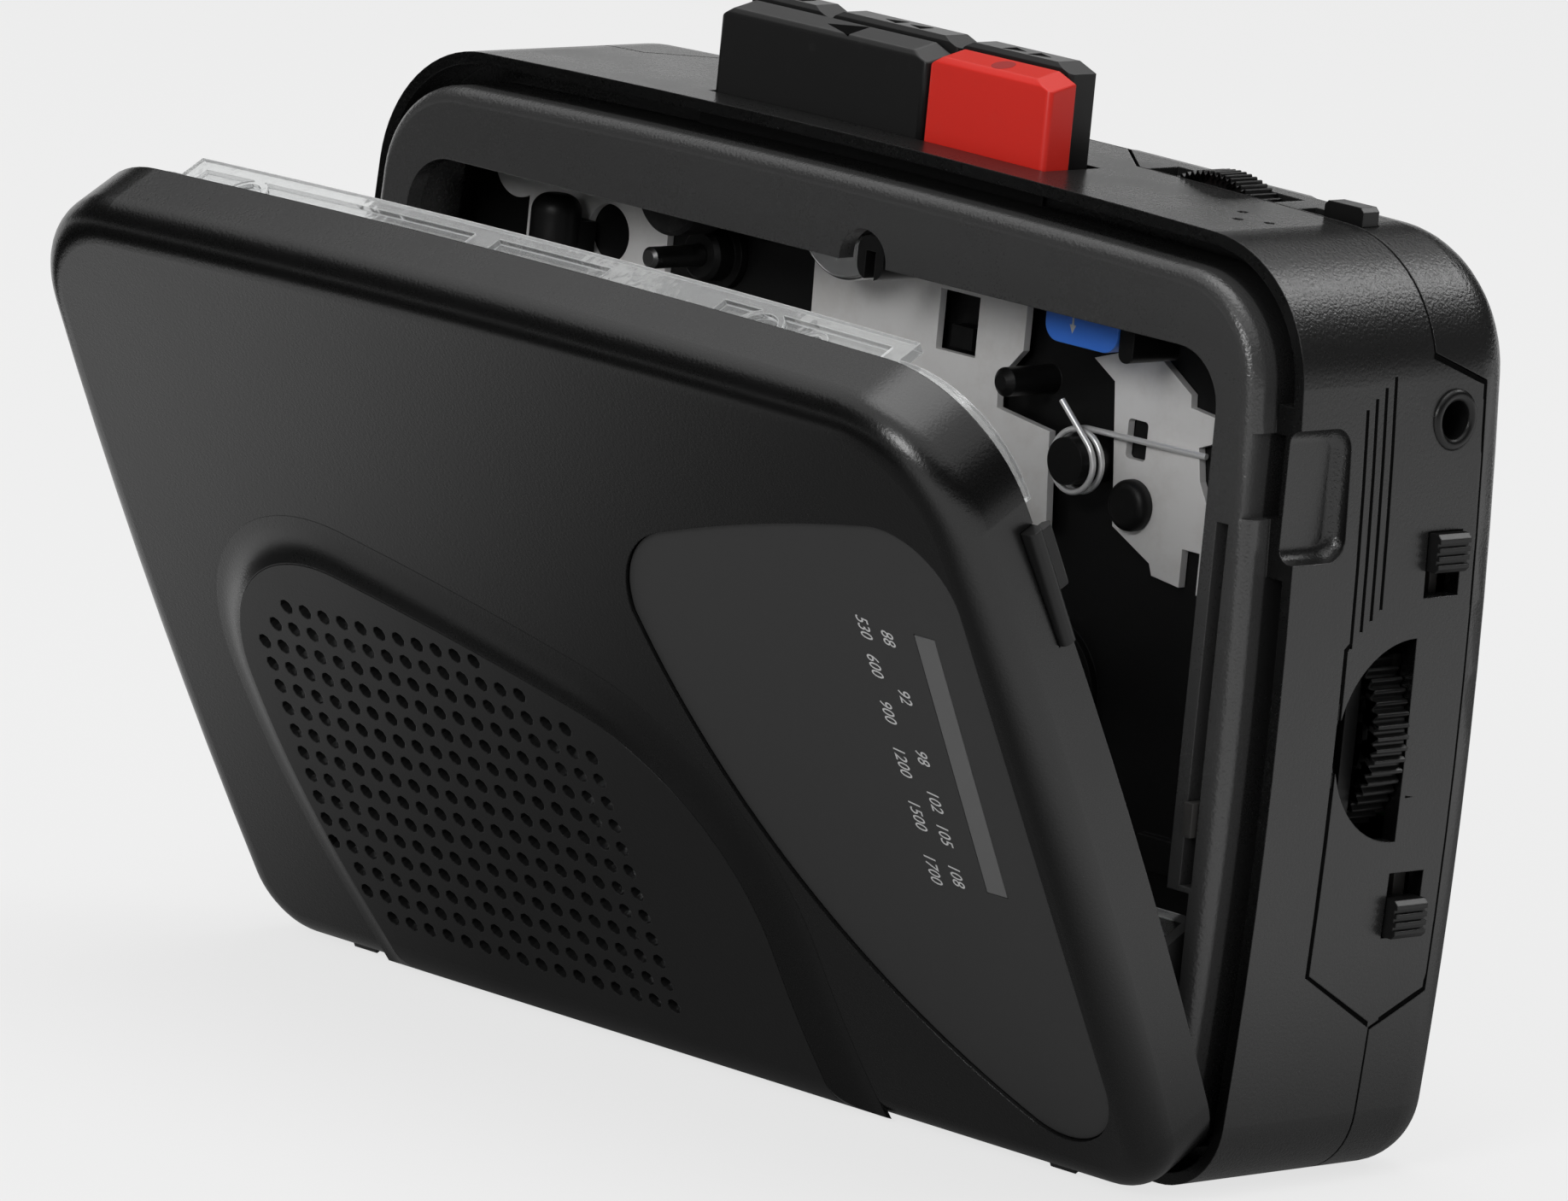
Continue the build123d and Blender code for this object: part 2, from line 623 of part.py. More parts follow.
def holder_screws():
    group = []
    top = FLOOR_Y + FLOOR_T
    for x in HOLDER_SCREW_X:
        screw = rod(x, HOLDER_SCREW_Z, 1.9, top, top + 0.6)
        screw -= block(x - 1.3, x + 1.3, top + 0.3, top + 1, HOLDER_SCREW_Z - 0.2, HOLDER_SCREW_Z + 0.2)
        group.append(screw)
    return Compound(group)


def speaker_driver():
    front = DOOR_WALL - DOOR_T - RAISE + 0.1
    rim = rod(SPEAKER_X, SPEAKER_Z, 17.0, front, front + 0.9)
    rim -= rod(SPEAKER_X, SPEAKER_Z, 15.0, -20, 0)
    basket = rod(SPEAKER_X, SPEAKER_Z, 15.6, front + 0.9, FLOOR_Y - 0.2)
    basket -= rod(SPEAKER_X, SPEAKER_Z, 15.0, -20, FLOOR_Y - 0.8)
    magnet = rod(SPEAKER_X, SPEAKER_Z, 8.0, FLOOR_Y - 0.8, -2.6)
    return rim + basket + fillet(magnet.edges().group_by(Axis.Y)[-1], 0.6)


def speaker_cone():
    front = DOOR_WALL - DOOR_T - RAISE + 0.4
    sheet = Plane.XZ.offset(-front) * Pos(SPEAKER_X, SPEAKER_Z) * Circle(14.6)
    throat = Plane.XZ.offset(-front - 1.6) * Pos(SPEAKER_X, SPEAKER_Z) * Circle(5.0)
    cone = loft([sheet, throat])
    dome = Pos(SPEAKER_X, front + 0.9, SPEAKER_Z) * Sphere(4.4)
    dome = dome & block(-BODY_W, BODY_W, front - 0.3, front + 0.9, 0, BODY_H)
    return cone - rod(SPEAKER_X, SPEAKER_Z, 12.8, front - 1, front + 0.2) + dome


def swing(shape):
    return Pos(0, HINGE_Y, HINGE_Z) * Rot(OPEN_DEG, 0, 0) * Pos(0, -HINGE_Y, -HINGE_Z) * shape


def hinge_pins():
    pin = bar(HINGE_Y, HINGE_Z, PIN_R, KNUCKLE_X - 3.9, KNUCKLE_X + 3.9)
    return Compound(both_sides(pin))


# Keys

def key(column, width, row, post):
    left = KEY_X0 + column * KEY_UNIT + KEY_GAP / 2
    right = KEY_X0 + (column + width) * KEY_UNIT - KEY_GAP / 2
    front = FRONT_KEY_Y + row * (KEY_D + KEY_GAP)
    top = KEY_TOP + KEY_STEP * row
    side = [(left, KEY_FOOT), (left, top - 0.8), (left + 1.2, top), (right - 2.1, top), (right, top - 0.8)]
    cap = slab(plate(side + [(right, KEY_FOOT)]), front, front + KEY_D)
    ridge = cap.edges().filter_by(Axis.X).group_by(Axis.Z)[-1].sort_by(Axis.Y)[0]
    cap = chamfer(ridge, 0.4)
    cap = fillet(cap.edges().filter_by(Axis.Z).group_by(Axis.Y)[0], 0.5)
    return cap + stem(row, post)


def stem(row, post, grow=0.0):
    middle = KEY_X0 + post * KEY_UNIT
    half = 2.5 + grow
    front = FRONT_KEY_Y + row * (KEY_D + KEY_GAP) + 1.9 - grow
    rear = front + 1.0 + 2 * grow
    return block(middle - half, middle + half, front, rear, STEM_FOOT, KEY_FOOT + 0.5)


def key_bracket():
    left = KEY_X0 + 2.2
    right = KEY_X0 + 3 * KEY_UNIT
    rear = DECK_Y + DECK_T
    shelf = block(left, right, FRONT_KEY_Y + 1.5, rear + 0.9, SHELF_Z, SHELF_Z + 0.7)
    shelf += block(left, right, rear, rear + 0.9, SHELF_Z - 7.5, SHELF_Z + 0.7)
    for place in KEYS.values():
        shelf -= stem(*place[2:], 0.15)
    return shelf


# Deck and tape path

def deck():
    base = slab(outline(WALL + 0.4), DECK_Y, DECK_Y + DECK_T)
    base = base & block(-BODY_W, BODY_W, 0, 20, WELL_FOOT - 2, WELL_TOP + 2.8)
    notch = STEM_FOOT - KEY_TRAVEL - 0.4
    base -= block(KEY_X0 + 1.2, KEY_X0 + 3 * KEY_UNIT + 1, 0, 20, notch, BODY_H)
    for x in (-SPINDLE_X, SPINDLE_X):
        base += rod(x, SPINDLE_Z, 6.6, DECK_Y - 0.8, DECK_Y)
        base -= rod(x, SPINDLE_Z, 4.7, 0, 20)
    base -= rod(CAPSTAN_X, CAPSTAN_Z, BEARING_R + 0.1, 0, 20)
    base += rod(POST_X, POST_Z, POST_R, DECK_Y - 4.6, DECK_Y)
    base += rod(STAKE_X, STAKE_Z, 1.5, FIXED_PLATE_Y - 0.5, DECK_Y)
    head = rod(STAKE_X, STAKE_Z, 2.3, FIXED_PLATE_Y - 1.4, FIXED_PLATE_Y - SEAT_GAP)
    base += fillet(head.edges().group_by(Axis.Y)[0], 0.9)
    pin = rod(18.4, WELL_TOP - 8.8, 1.3, DECK_Y - 6.4, DECK_Y)
    base += chamfer(pin.edges().group_by(Axis.Y)[0], 0.6)
    base += block(7.6, 10.2, HEAD_PLATE_Y, DECK_Y, WELL_TOP - 7.8, WELL_TOP - 5.8)
    base += rod(-12.0, SPINDLE_Z - 20.0, 9.0, DECK_Y - 0.5, DECK_Y)
    for x in (-40.0, 40.0):
        base += block(x - 5, x + 5, DECK_Y - 1.0, DECK_Y, SPINDLE_Z - 13.0, SPINDLE_Z - 10.0)
    return base


# Plates and heads, with heights counted from the top edge of the well

def side_plate():
    left = [(24.2, -5.8), (26.9, -7.4), (28.3, -20.0), (33.1, -22.4), (33.5, -23.4), (40.0, -24.2)]
    right = [(39.9, -17.3), (38.1, -14.2), (37.6, -11.3), (39.6, -10.5), (39.6, -8.4), (36.2, -8.0)]
    face = make_face(Polyline(*left, *right, (36.1, -6.9), (31.0, -3.7), (29.0, -4.2), close=True))
    face -= Pos(30.2, -12.0) * RectangleRounded(2.4, 3.5, 0.4)
    face -= Pos(37.9, -23.0) * Rectangle(2.1, 5.2)
    face -= Pos(STAKE_X, STAKE_Z - WELL_TOP) * Circle(1.6)
    return slab(Pos(0, WELL_TOP) * face, FIXED_PLATE_Y, FIXED_PLATE_Y + PLATE_T)


def left_plate():
    left, right = 2.8 - WELL_HALF, CAPSTAN_X - 6.3
    face = plate([(left, -16), (right, -16), (right, -1), (right - 4.2, 2.6), (left, 2.6)])
    face += Pos(left - 1.6, -1.4) * Circle(3.2)
    face -= Pos(left - 2.0, -1.4) * Circle(1.3)
    face -= Pos(right - 7.6, -5.8) * Circle(2.7)
    face -= Pos(right - 2.2, -11.0) * RectangleRounded(1.8, 5.0, 0.5)
    return slab(Pos(0, WELL_TOP) * face, FIXED_PLATE_Y, FIXED_PLATE_Y + PLATE_T)


def cassette_guide():
    x, y = 9.8 - WELL_HALF, FIXED_PLATE_Y - 3.3
    post = Pos(x, y, WELL_TOP - 9.4) * Cylinder(2.3, 13.6)
    post = fillet(post.edges().group_by(Axis.Z)[-1], 1.6)
    return post + block(x - 2, x + 2, y, FIXED_PLATE_Y - SEAT_GAP, WELL_TOP - 15.5, WELL_TOP - 5.0)


def head_plate():
    outer = [(-10.2, 4.2), (34.6, 4.2), (34.6, -1.0), (16.5, -1.0), (16.5, -6.6), (13.8, -9.6), (14.0, -12.1)]
    face = make_face(Polyline(*outer, (20.6, -13.0), (21.4, -22.4), (-9.5, -22.4), close=True))
    face -= Pos(8.3, -5.6) * Rectangle(4.9, 5.4)
    face -= Pos(0.0, -18.0) * RectangleRounded(9.0, 4.0, 1.0)
    return slab(Pos(0, WELL_TOP) * face, HEAD_PLATE_Y, HEAD_PLATE_Y + PLATE_T)


def tape_head():
    rear, top = HEAD_PLATE_Y - SEAT_GAP, WELL_TOP + 3.6
    dome = rod(-0.3, WELL_TOP + 3.0, 6.0, rear - 6.65, rear) & block(-9, 9, -9, rear, WELL_TOP - 4, top)
    dome += block(-8.6, 8.0, rear - 0.95, rear, WELL_TOP - 0.4, top)
    return fillet(dome.edges().filter_by(GeomType.CIRCLE).group_by(Axis.Y)[0], 0.5)


def tape_guide():
    rear = HEAD_PLATE_Y - 1.2
    front = rear - 9.9
    fork = Pos(7.6, WELL_TOP + 0.6) * RectangleRounded(3.2, 4.0, 1.4)
    return slab(fork, front, rear) - block(7.0, 8.2, front - 1, front + 1.8, WELL_TOP - 2.0, WELL_TOP + 1.2)


def erase_head():
    rear = HEAD_PLATE_Y - SEAT_GAP
    core = block(24.7, 33.4, rear - 6.15, rear, WELL_TOP - 3.6, WELL_TOP + 3.4)
    return fillet(core.edges().filter_by(Axis.Y).group_by(Axis.Z)[0], 1.6)


def erase_bracket():
    rear = HEAD_PLATE_Y - SEAT_GAP
    arm = block(33.5, 35.2, rear - 5.95, rear, WELL_TOP - 4.1, WELL_TOP + 3.4)
    return fillet(arm.edges().filter_by(Axis.Y).group_by(Axis.Z)[0], 0.8)


def pinch_z():
    return CAPSTAN_Z + CAPSTAN_R + PINCH_GAP + PINCH_R


def pinch_arm():
    front = HEAD_PLATE_Y + SEAT_GAP
    pivot = Pos(PIVOT_X, PIVOT_Z) * Circle(3.0)
    yoke = Pos(CAPSTAN_X, pinch_z()) * Circle(2.6)
    arm = slab(make_hull(pivot.edges() + yoke.edges()), front, front + 0.7)
    arm += rod(CAPSTAN_X, pinch_z(), 0.8, front - 6.35, front + 0.25)
    return arm + rod(PIVOT_X, PIVOT_Z, 1.6, front - 2.25, front + 0.25)


def pinch_roller():
    rear = HEAD_PLATE_Y - 1.3
    roll = rod(CAPSTAN_X, pinch_z(), PINCH_R, rear - 4.5, rear)
    roll = chamfer(roll.edges(), 0.35)
    return roll - rod(CAPSTAN_X, pinch_z(), 0.8 + PIN_CLEAR, rear - 6, rear + 1)


def capstan_bearing():
    nose = rod(CAPSTAN_X, CAPSTAN_Z, NOSE_R, DECK_Y - 3.0, DECK_Y - 0.8)
    nose = chamfer(nose.edges().group_by(Axis.Y)[0], 0.4)
    tube = nose + rod(CAPSTAN_X, CAPSTAN_Z, BEARING_R, DECK_Y - 0.8, FLYWHEEL_Y - 0.5)
    return tube - rod(CAPSTAN_X, CAPSTAN_Z, CAPSTAN_R + PIN_CLEAR, 0, BODY_D)


def capstan():
    shaft = rod(CAPSTAN_X, CAPSTAN_Z, CAPSTAN_R, DECK_Y - 9.4, FLYWHEEL_Y + 5.6)
    return chamfer(shaft.edges().group_by(Axis.Y)[0], 0.3)


def flywheel():
    wheel = rod(CAPSTAN_X, CAPSTAN_Z, FLYWHEEL_R, FLYWHEEL_Y, FLYWHEEL_Y + 3.4)
    wheel = chamfer(wheel.edges(), 0.3)
    wheel -= rod(CAPSTAN_X, CAPSTAN_Z, FLYWHEEL_R - 2.2, FLYWHEEL_Y + 2.4, 30)
    wheel += rod(CAPSTAN_X, CAPSTAN_Z, 2.6, FLYWHEEL_Y + 2.0, FLYWHEEL_Y + 4.6)
    return wheel - rod(CAPSTAN_X, CAPSTAN_Z, CAPSTAN_R, 0, 30)


def belt_loop(grow):
    big = Pos(CAPSTAN_X, CAPSTAN_Z) * Circle(FLYWHEEL_R + grow)
    small = Pos(MOTOR_X, MOTOR_Z) * Circle(PULLEY_R + grow)
    return make_hull(big.edges() + small.edges())


def drive_belt():
    front = FLYWHEEL_Y + 0.7
    return slab(belt_loop(0.9), front, front + 1.2) - slab(belt_loop(0.15), front - 1, front + 3)


def motor():
    can = rod(MOTOR_X, MOTOR_Z, MOTOR_R, FLYWHEEL_Y + 2.7, BODY_D - WALL - 0.8)
    can = chamfer(can.edges(), 0.7)
    can -= rod(MOTOR_X, MOTOR_Z, 1.05, 0, FLYWHEEL_Y + 6.1)
    return can + rod(MOTOR_X, MOTOR_Z, 3.4, BODY_D - WALL - 0.9, BODY_D - WALL)


def motor_pulley():
    front = FLYWHEEL_Y - 0.3
    hub = rod(MOTOR_X, MOTOR_Z, PULLEY_R, front + 0.6, front + 2.6)
    hub += rod(MOTOR_X, MOTOR_Z, 1.0, front - 0.2, front + 5.4)
    return hub + rod(MOTOR_X, MOTOR_Z, PULLEY_R + 0.9, front, front + 0.6)


def spindle(x):
    base = DECK_Y - 1.2
    hub = rod(x, SPINDLE_Z, 4.3, base, base + 3.8) + rod(x, SPINDLE_Z, 2.3, base - 7.8, base)
    hub = chamfer(hub.edges().group_by(Axis.Y)[0], 0.8)
    fin = slab(Pos(3.2, 0) * Rectangle(2.4, 1.1), base - 5.8, base)
    for turn in (90, 210, 330):
        hub += Pos(x, 0, SPINDLE_Z) * Rot(0, turn, 0) * fin
    return hub


def torsion_spring():
    turns = (810 - 135) / 360
    coil = Helix(pitch=SPRING_PITCH, height=turns * SPRING_PITCH, radius=SPRING_R)
    frame = Plane(origin=(POST_X, DECK_Y - 4.0, POST_Z), x_dir=(-1, 0, 0), z_dir=(0, 1, 0))
    coil = frame * Rot(0, 0, 135) * coil
    near = Line(coil @ 0 - (coil % 0) * 4.6, coil @ 0)
    far = Line(coil @ 1, coil @ 1 + (coil % 1) * 13.5)
    path = Wire([near, coil, far])
    wire = sweep(Plane(origin=path @ 0, z_dir=path % 0) * Circle(SPRING_WIRE_R), path=path)
    print("spring gap between turns", round(SPRING_PITCH - 2 * SPRING_WIRE_R, 2))
    return wire


# Radio and controls

def wheel(x, z, radius, front, width, teeth):
    disc = slab(Pos(x, z) * Circle(radius), front, front + width)
    disc = chamfer(disc.edges(), 0.35)
    notch = slab(Rectangle(0.7, 0.7), front - 1, front + width + 1)
    for step in range(teeth):
        turn = 360 * step / teeth
        disc -= Pos(x, 0, z) * Rot(0, turn, 0) * Pos(radius, 0, 0) * Rot(0, 45, 0) * notch
    return disc


def tuning_wheel():
    disc = wheel(TUNER_X, TUNER_Z, TUNER_R, TUNER_Y, TUNER_W, 40)
    return disc + rod(TUNER_X, TUNER_Z, 1.8, TUNER_Y + 1, TUNER_Y + TUNER_W + 1.0)


def tuning_capacitor():
    front = TUNER_Y + TUNER_W + 0.3
    case = block(TUNER_X - 7, TUNER_X + 7, front, BOARD_Y - SEAT_GAP, TUNER_Z - 7, TUNER_Z + 7)
    return case - rod(TUNER_X, TUNER_Z, 1.9, 0, front + 1.2)


def volume_wheel():
    disc = wheel(VOLUME_X, VOLUME_Z, VOLUME_R, VOLUME_Y, VOLUME_W, 36)
    return disc + rod(VOLUME_X, VOLUME_Z, 1.8, VOLUME_Y + 1, VOLUME_Y + VOLUME_W + 1.0)


def volume_pot():
    front = VOLUME_Y + VOLUME_W + 0.3
    case = rod(VOLUME_X, VOLUME_Z, 5.5, front, front + 3.0)
    return case - rod(VOLUME_X, VOLUME_Z, 1.9, 0, front + 1.2)


def dial_pointer():
    flag = block(DIAL_X - 0.5, DIAL_X + 0.5, -3.6, 0, POINTER_Z - 1.5, POINTER_Z + 1.5)
    return flag + block(DIAL_X - 0.8, DIAL_X + 0.8, -1.0, 0.6, POINTER_Z - 1.9, POINTER_Z + 1.9)


def slide_knob(y, z):
    top = side_x(z) + 1.3
    low = z - KNOB_H / 2
    cap = block(side_x(z) - 1.0, top, y - KNOB_W / 2, y + KNOB_W / 2, low, low + KNOB_H)
    cap = chamfer(cap.edges().filter_by(Axis.Y).group_by(Axis.X)[-1], 0.4)
    for step in range(3):
        mark = low + 0.75 + 0.75 * step
        cap -= block(top - 0.3, top + 1, y - 3, y + 3, mark, mark + 0.35)
    return cap + block(HALF_W - 4.6, side_x(z) - 0.9, y - 0.7, y + 0.7, z - 1.0, z + 1.0)


def source_knob():
    return slide_knob(SOURCE_Y, SOURCE_Z + (SLOT_H - KNOB_H) / 2 - 0.1)


def band_knob():
    return slide_knob(BAND_Y, BAND_Z - (SLOT_H - KNOB_H) / 2 + 0.1)


def switch_body(y, z):
    case = block(HALF_W - 8.6, HALF_W - 2.4, y - 2.4, BOARD_Y - SEAT_GAP, z - 4.6, z + 4.6)
    return case - block(HALF_W - 5.0, HALF_W, y - 0.9, y + 0.9, z - 3.2, z + 3.2)


def mode_knob():
    base = MODE_TOP - 3.6
    cap = block(MODE_X - 0.9, MODE_X + 3.7, MODE_Y - 1.0, MODE_Y + 1.0, base, MODE_TOP)
    cap = chamfer(cap.edges().filter_by(Axis.Y).group_by(Axis.Z)[-1], 0.4)
    return cap + block(MODE_X + 0.6, MODE_X + 2.2, MODE_Y - 0.6, MODE_Y + 0.6, base - 2.2, base + 0.4)


def mode_switch():
    top = MODE_TOP - 4.0
    case = block(MODE_X - 4.4, MODE_X + 4.4, MODE_Y - 1.5, MODE_Y + 2.6, top - 3.8, top)
    return case - block(MODE_X - 3.2, MODE_X + 3.2, MODE_Y - 0.8, MODE_Y + 0.8, top - 2.2, top + 2)


def phones_jack():
    end = side_x(JACK_Z) + 0.15
    root = HALF_W - 13.4
    tube = bar(JACK_Y, JACK_Z, JACK_R, end - 2.6, end) + bar(JACK_Y, JACK_Z, 3.0, root, end - 2.6)
    return tube - bar(JACK_Y, JACK_Z, JACK_BORE, root + 1.0, BODY_W)


def microphone():
    return Pos(MIC_X, MIC_Y, BODY_H - 5.2) * Cylinder(2.7, 3.0)


def circuit_board():
    left, low = BAY_RIGHT + 2.6, MOTOR_Z + MOTOR_R + 2.0
    rear = BOARD_Y + 1.2
    board = block(left, HALF_W - 4.4, BOARD_Y, rear, low, JACK_Z - 4.1)
    for x, z in SCREWS:
        board -= rod(x, z, 3.9, 0, BODY_D)
    board += block(left + 8, left + 16, rear, rear + 1.4, low + 14.5, low + 19.5)
    return board + block(left + 22, left + 30, rear, rear + 1.6, low + 4.5, low + 12.5)


PARTS = {
    "front_housing": front_housing(),
    "rear_cover": rear_cover(),
    "rear_screws": rear_screws(),
    "battery_cover": battery_cover(),
    "battery_tray": battery_tray(),
    "battery_cells": battery_cells(),
    "battery_contacts": battery_contacts(),
    "hinge_pins": hinge_pins(),
    "door_shell": swing(door_shell()),
    "speaker_grille": swing(speaker_grille()),
    "speaker_driver": swing(speaker_driver()),
    "speaker_cone": swing(speaker_cone()),
    "dial_panel": swing(dial_panel()),
    "dial_window": swing(dial_window()),
    "door_latch": swing(door_latch()),
    "cassette_holder": swing(cassette_holder()),
    "holder_screws": swing(holder_screws()),
    "key_bracket": key_bracket(),
    "deck": deck(),
    "side_plate": side_plate(),
    "left_plate": left_plate(),
    "cassette_guide": cassette_guide(),
    "torsion_spring": torsion_spring(),
    "head_plate": head_plate(),
    "tape_head": tape_head(),
    "tape_guide": tape_guide(),
    "erase_head": erase_head(),
    "erase_bracket": erase_bracket(),
    "pinch_arm": pinch_arm(),
    "pinch_roller": pinch_roller(),
    "capstan_bearing": capstan_bearing(),
    "capstan": capstan(),
    "flywheel": flywheel(),
    "drive_belt": drive_belt(),
    "motor": motor(),
    "motor_pulley": motor_pulley(),
    "supply_spindle": spindle(SPINDLE_X),
    "takeup_spindle": spindle(-SPINDLE_X),
    "tuning_wheel": tuning_wheel(),
    "tuning_capacitor": tuning_capacitor(),
    "volume_wheel": volume_wheel(),
    "volume_pot": volume_pot(),
    "dial_pointer": dial_pointer(),
    "source_knob": source_knob(),
    "band_knob": band_knob(),
    "source_switch": switch_body(SOURCE_Y, SOURCE_Z),
    "band_switch": switch_body(BAND_Y, BAND_Z),
    "mode_knob": mode_knob(),
    "mode_switch": mode_switch(),
    "phones_jack": phones_jack(),
    "microphone": microphone(),
    "circuit_board": circuit_board(),
}

for name, place in KEYS.items():
    PARTS[name] = key(*place)

# The frame's origin lies under the middle of the body's depth
CENTRE = Pos(0, -BODY_D / 2, 0)
for name, shape in PARTS.items():
    export_step(CENTRE * shape, f"parts/{name}.step")
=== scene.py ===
import json
import math

import bmesh
import bpy
from mathutils import Matrix, Vector
from mathutils.bvhtree import BVHTree


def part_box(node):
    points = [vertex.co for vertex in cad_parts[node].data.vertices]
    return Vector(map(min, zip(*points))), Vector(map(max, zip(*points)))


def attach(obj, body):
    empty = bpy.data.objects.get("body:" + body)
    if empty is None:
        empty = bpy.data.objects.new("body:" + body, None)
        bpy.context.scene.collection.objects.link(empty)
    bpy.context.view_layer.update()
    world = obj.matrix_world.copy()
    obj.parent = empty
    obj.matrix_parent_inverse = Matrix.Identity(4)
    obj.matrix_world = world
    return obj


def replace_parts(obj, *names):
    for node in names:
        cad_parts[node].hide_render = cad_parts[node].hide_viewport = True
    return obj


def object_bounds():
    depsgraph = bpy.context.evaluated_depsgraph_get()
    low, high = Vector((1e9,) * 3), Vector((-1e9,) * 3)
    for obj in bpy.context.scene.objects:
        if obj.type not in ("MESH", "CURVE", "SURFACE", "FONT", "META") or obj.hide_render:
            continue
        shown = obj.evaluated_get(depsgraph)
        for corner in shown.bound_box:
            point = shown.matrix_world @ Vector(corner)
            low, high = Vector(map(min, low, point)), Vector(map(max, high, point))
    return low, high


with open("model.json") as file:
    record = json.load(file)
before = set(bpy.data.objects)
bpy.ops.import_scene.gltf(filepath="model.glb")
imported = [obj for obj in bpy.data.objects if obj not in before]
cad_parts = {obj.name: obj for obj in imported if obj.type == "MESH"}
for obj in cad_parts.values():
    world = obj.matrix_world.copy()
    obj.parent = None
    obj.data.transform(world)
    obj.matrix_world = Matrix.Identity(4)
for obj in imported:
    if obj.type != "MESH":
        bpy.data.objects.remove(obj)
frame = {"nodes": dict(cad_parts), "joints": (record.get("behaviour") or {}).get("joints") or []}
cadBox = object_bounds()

mm = 0.001
nodes = frame["nodes"]
print("frame loaded:", len(nodes), "nodes")


# Shader wrapper

class Value:
    def __init__(self, finish, socket):
        self.finish = finish
        self.socket = socket

    def maths(self, operation, first, second):
        return self.finish.add("ShaderNodeMath", {"operation": operation}, {0: first, 1: second})

    def __add__(self, other):
        return self.maths("ADD", self, other)

    def __radd__(self, other):
        return self.maths("ADD", other, self)

    def __sub__(self, other):
        return self.maths("SUBTRACT", self, other)

    def __rsub__(self, other):
        return self.maths("SUBTRACT", other, self)

    def __mul__(self, other):
        return self.maths("MULTIPLY", self, other)

    def __abs__(self):
        return self.maths("ABSOLUTE", self, 0)

    def larger(self, other):
        return self.maths("MAXIMUM", self, other)


class Finish:
    edgeBand = (0.02, 0.25)
    flatBand = (0.92, 0.99)
    bevelSamples = 4

    def __init__(self, name, shader="ShaderNodeBsdfPrincipled"):
        self.material = bpy.data.materials.new(name)
        self.material.use_nodes = True
        self.start(self.material.node_tree, "ShaderNodeOutputMaterial", shader)
        self.place = self.add("ShaderNodeTexCoord", {}, {}, "Object")

    def start(self, tree, output, shader):
        self.tree = tree
        tree.nodes.clear()
        self.output = tree.nodes.new(output)
        self.shader = tree.nodes.new(shader)
        tree.links.new(self.shader.outputs[0], self.output.inputs["Surface"])

    def feed(self, socket, value):
        if isinstance(value, Value):
            self.tree.links.new(value.socket, socket)
        else:
            socket.default_value = value

    def add(self, kind, settings, inputs, output=0):
        node = self.tree.nodes.new(kind)
        for name, setting in settings.items():
            setattr(node, name, setting)
        for name, value in inputs.items():
            self.feed(node.inputs[name], value)
        return Value(self, node.outputs[output])

    def set(self, inputs):
        for name, value in inputs.items():
            self.feed(self.shader.inputs[name], value)

    def stretch(self, scale, turn=(0, 0, 0)):
        return self.add("ShaderNodeMapping", {}, {"Vector": self.place, "Scale": scale, "Rotation": turn})

    def noise(self, size, detail, rough, place=None):
        return self.add("ShaderNodeTexNoise", {}, {
            "Vector": place or self.place, "Scale": 1 / size, "Detail": detail, "Roughness": rough})

    def band(self, value, low, high):
        return self.add("ShaderNodeMapRange", {"interpolation_type": "SMOOTHSTEP"}, {
            "Value": value, "From Min": low, "From Max": high})

    def mix(self, factor, first, second):
        return self.add("ShaderNodeMix", {"data_type": "RGBA"}, {0: factor, 6: first, 7: second}, 2)

    def blend(self, factor, first, second):
        return self.add("ShaderNodeMixShader", {}, {0: factor, 1: first, 2: second})

    def matt(self, colour):
        return self.add("ShaderNodeBsdfDiffuse", {}, {"Color": colour})

    def bump(self, height, depth, normal=None):
        inputs = {"Height": height, "Distance": depth, "Strength": 1.0}
        if normal:
            inputs["Normal"] = normal
        return self.add("ShaderNodeBump", {}, inputs)

    def facing(self):
        return self.add("ShaderNodeNewGeometry", {}, {}, "Normal")

    def part(self, vector, axis):
        return self.add("ShaderNodeSeparateXYZ", {}, {0: vector}, axis)

    def flatness(self):
        x, y, z = [abs(self.part(self.facing(), axis)) for axis in "XYZ"]
        return self.band(x.larger(y).larger(z), *self.flatBand)

    def edges(self, radius):
        soft = self.add("ShaderNodeBevel", {"samples": self.bevelSamples}, {"Radius": radius})
        same = self.add("ShaderNodeVectorMath", {"operation": "DOT_PRODUCT"}, {
            0: soft, 1: self.facing()}, "Value")
        return self.band(1 - same, *self.edgeBand), soft


def grey(level, warm=0.0):
    return (level * (1 + warm), level, level * (1 - warm), 1)


# Moulded plastics: a pebbled grain that is weaker on flats, smudged gloss, worn edges, a painted highlight on
# upward faces, and on the front housing a painted paler bezel front with painted shade in the groove behind
# it

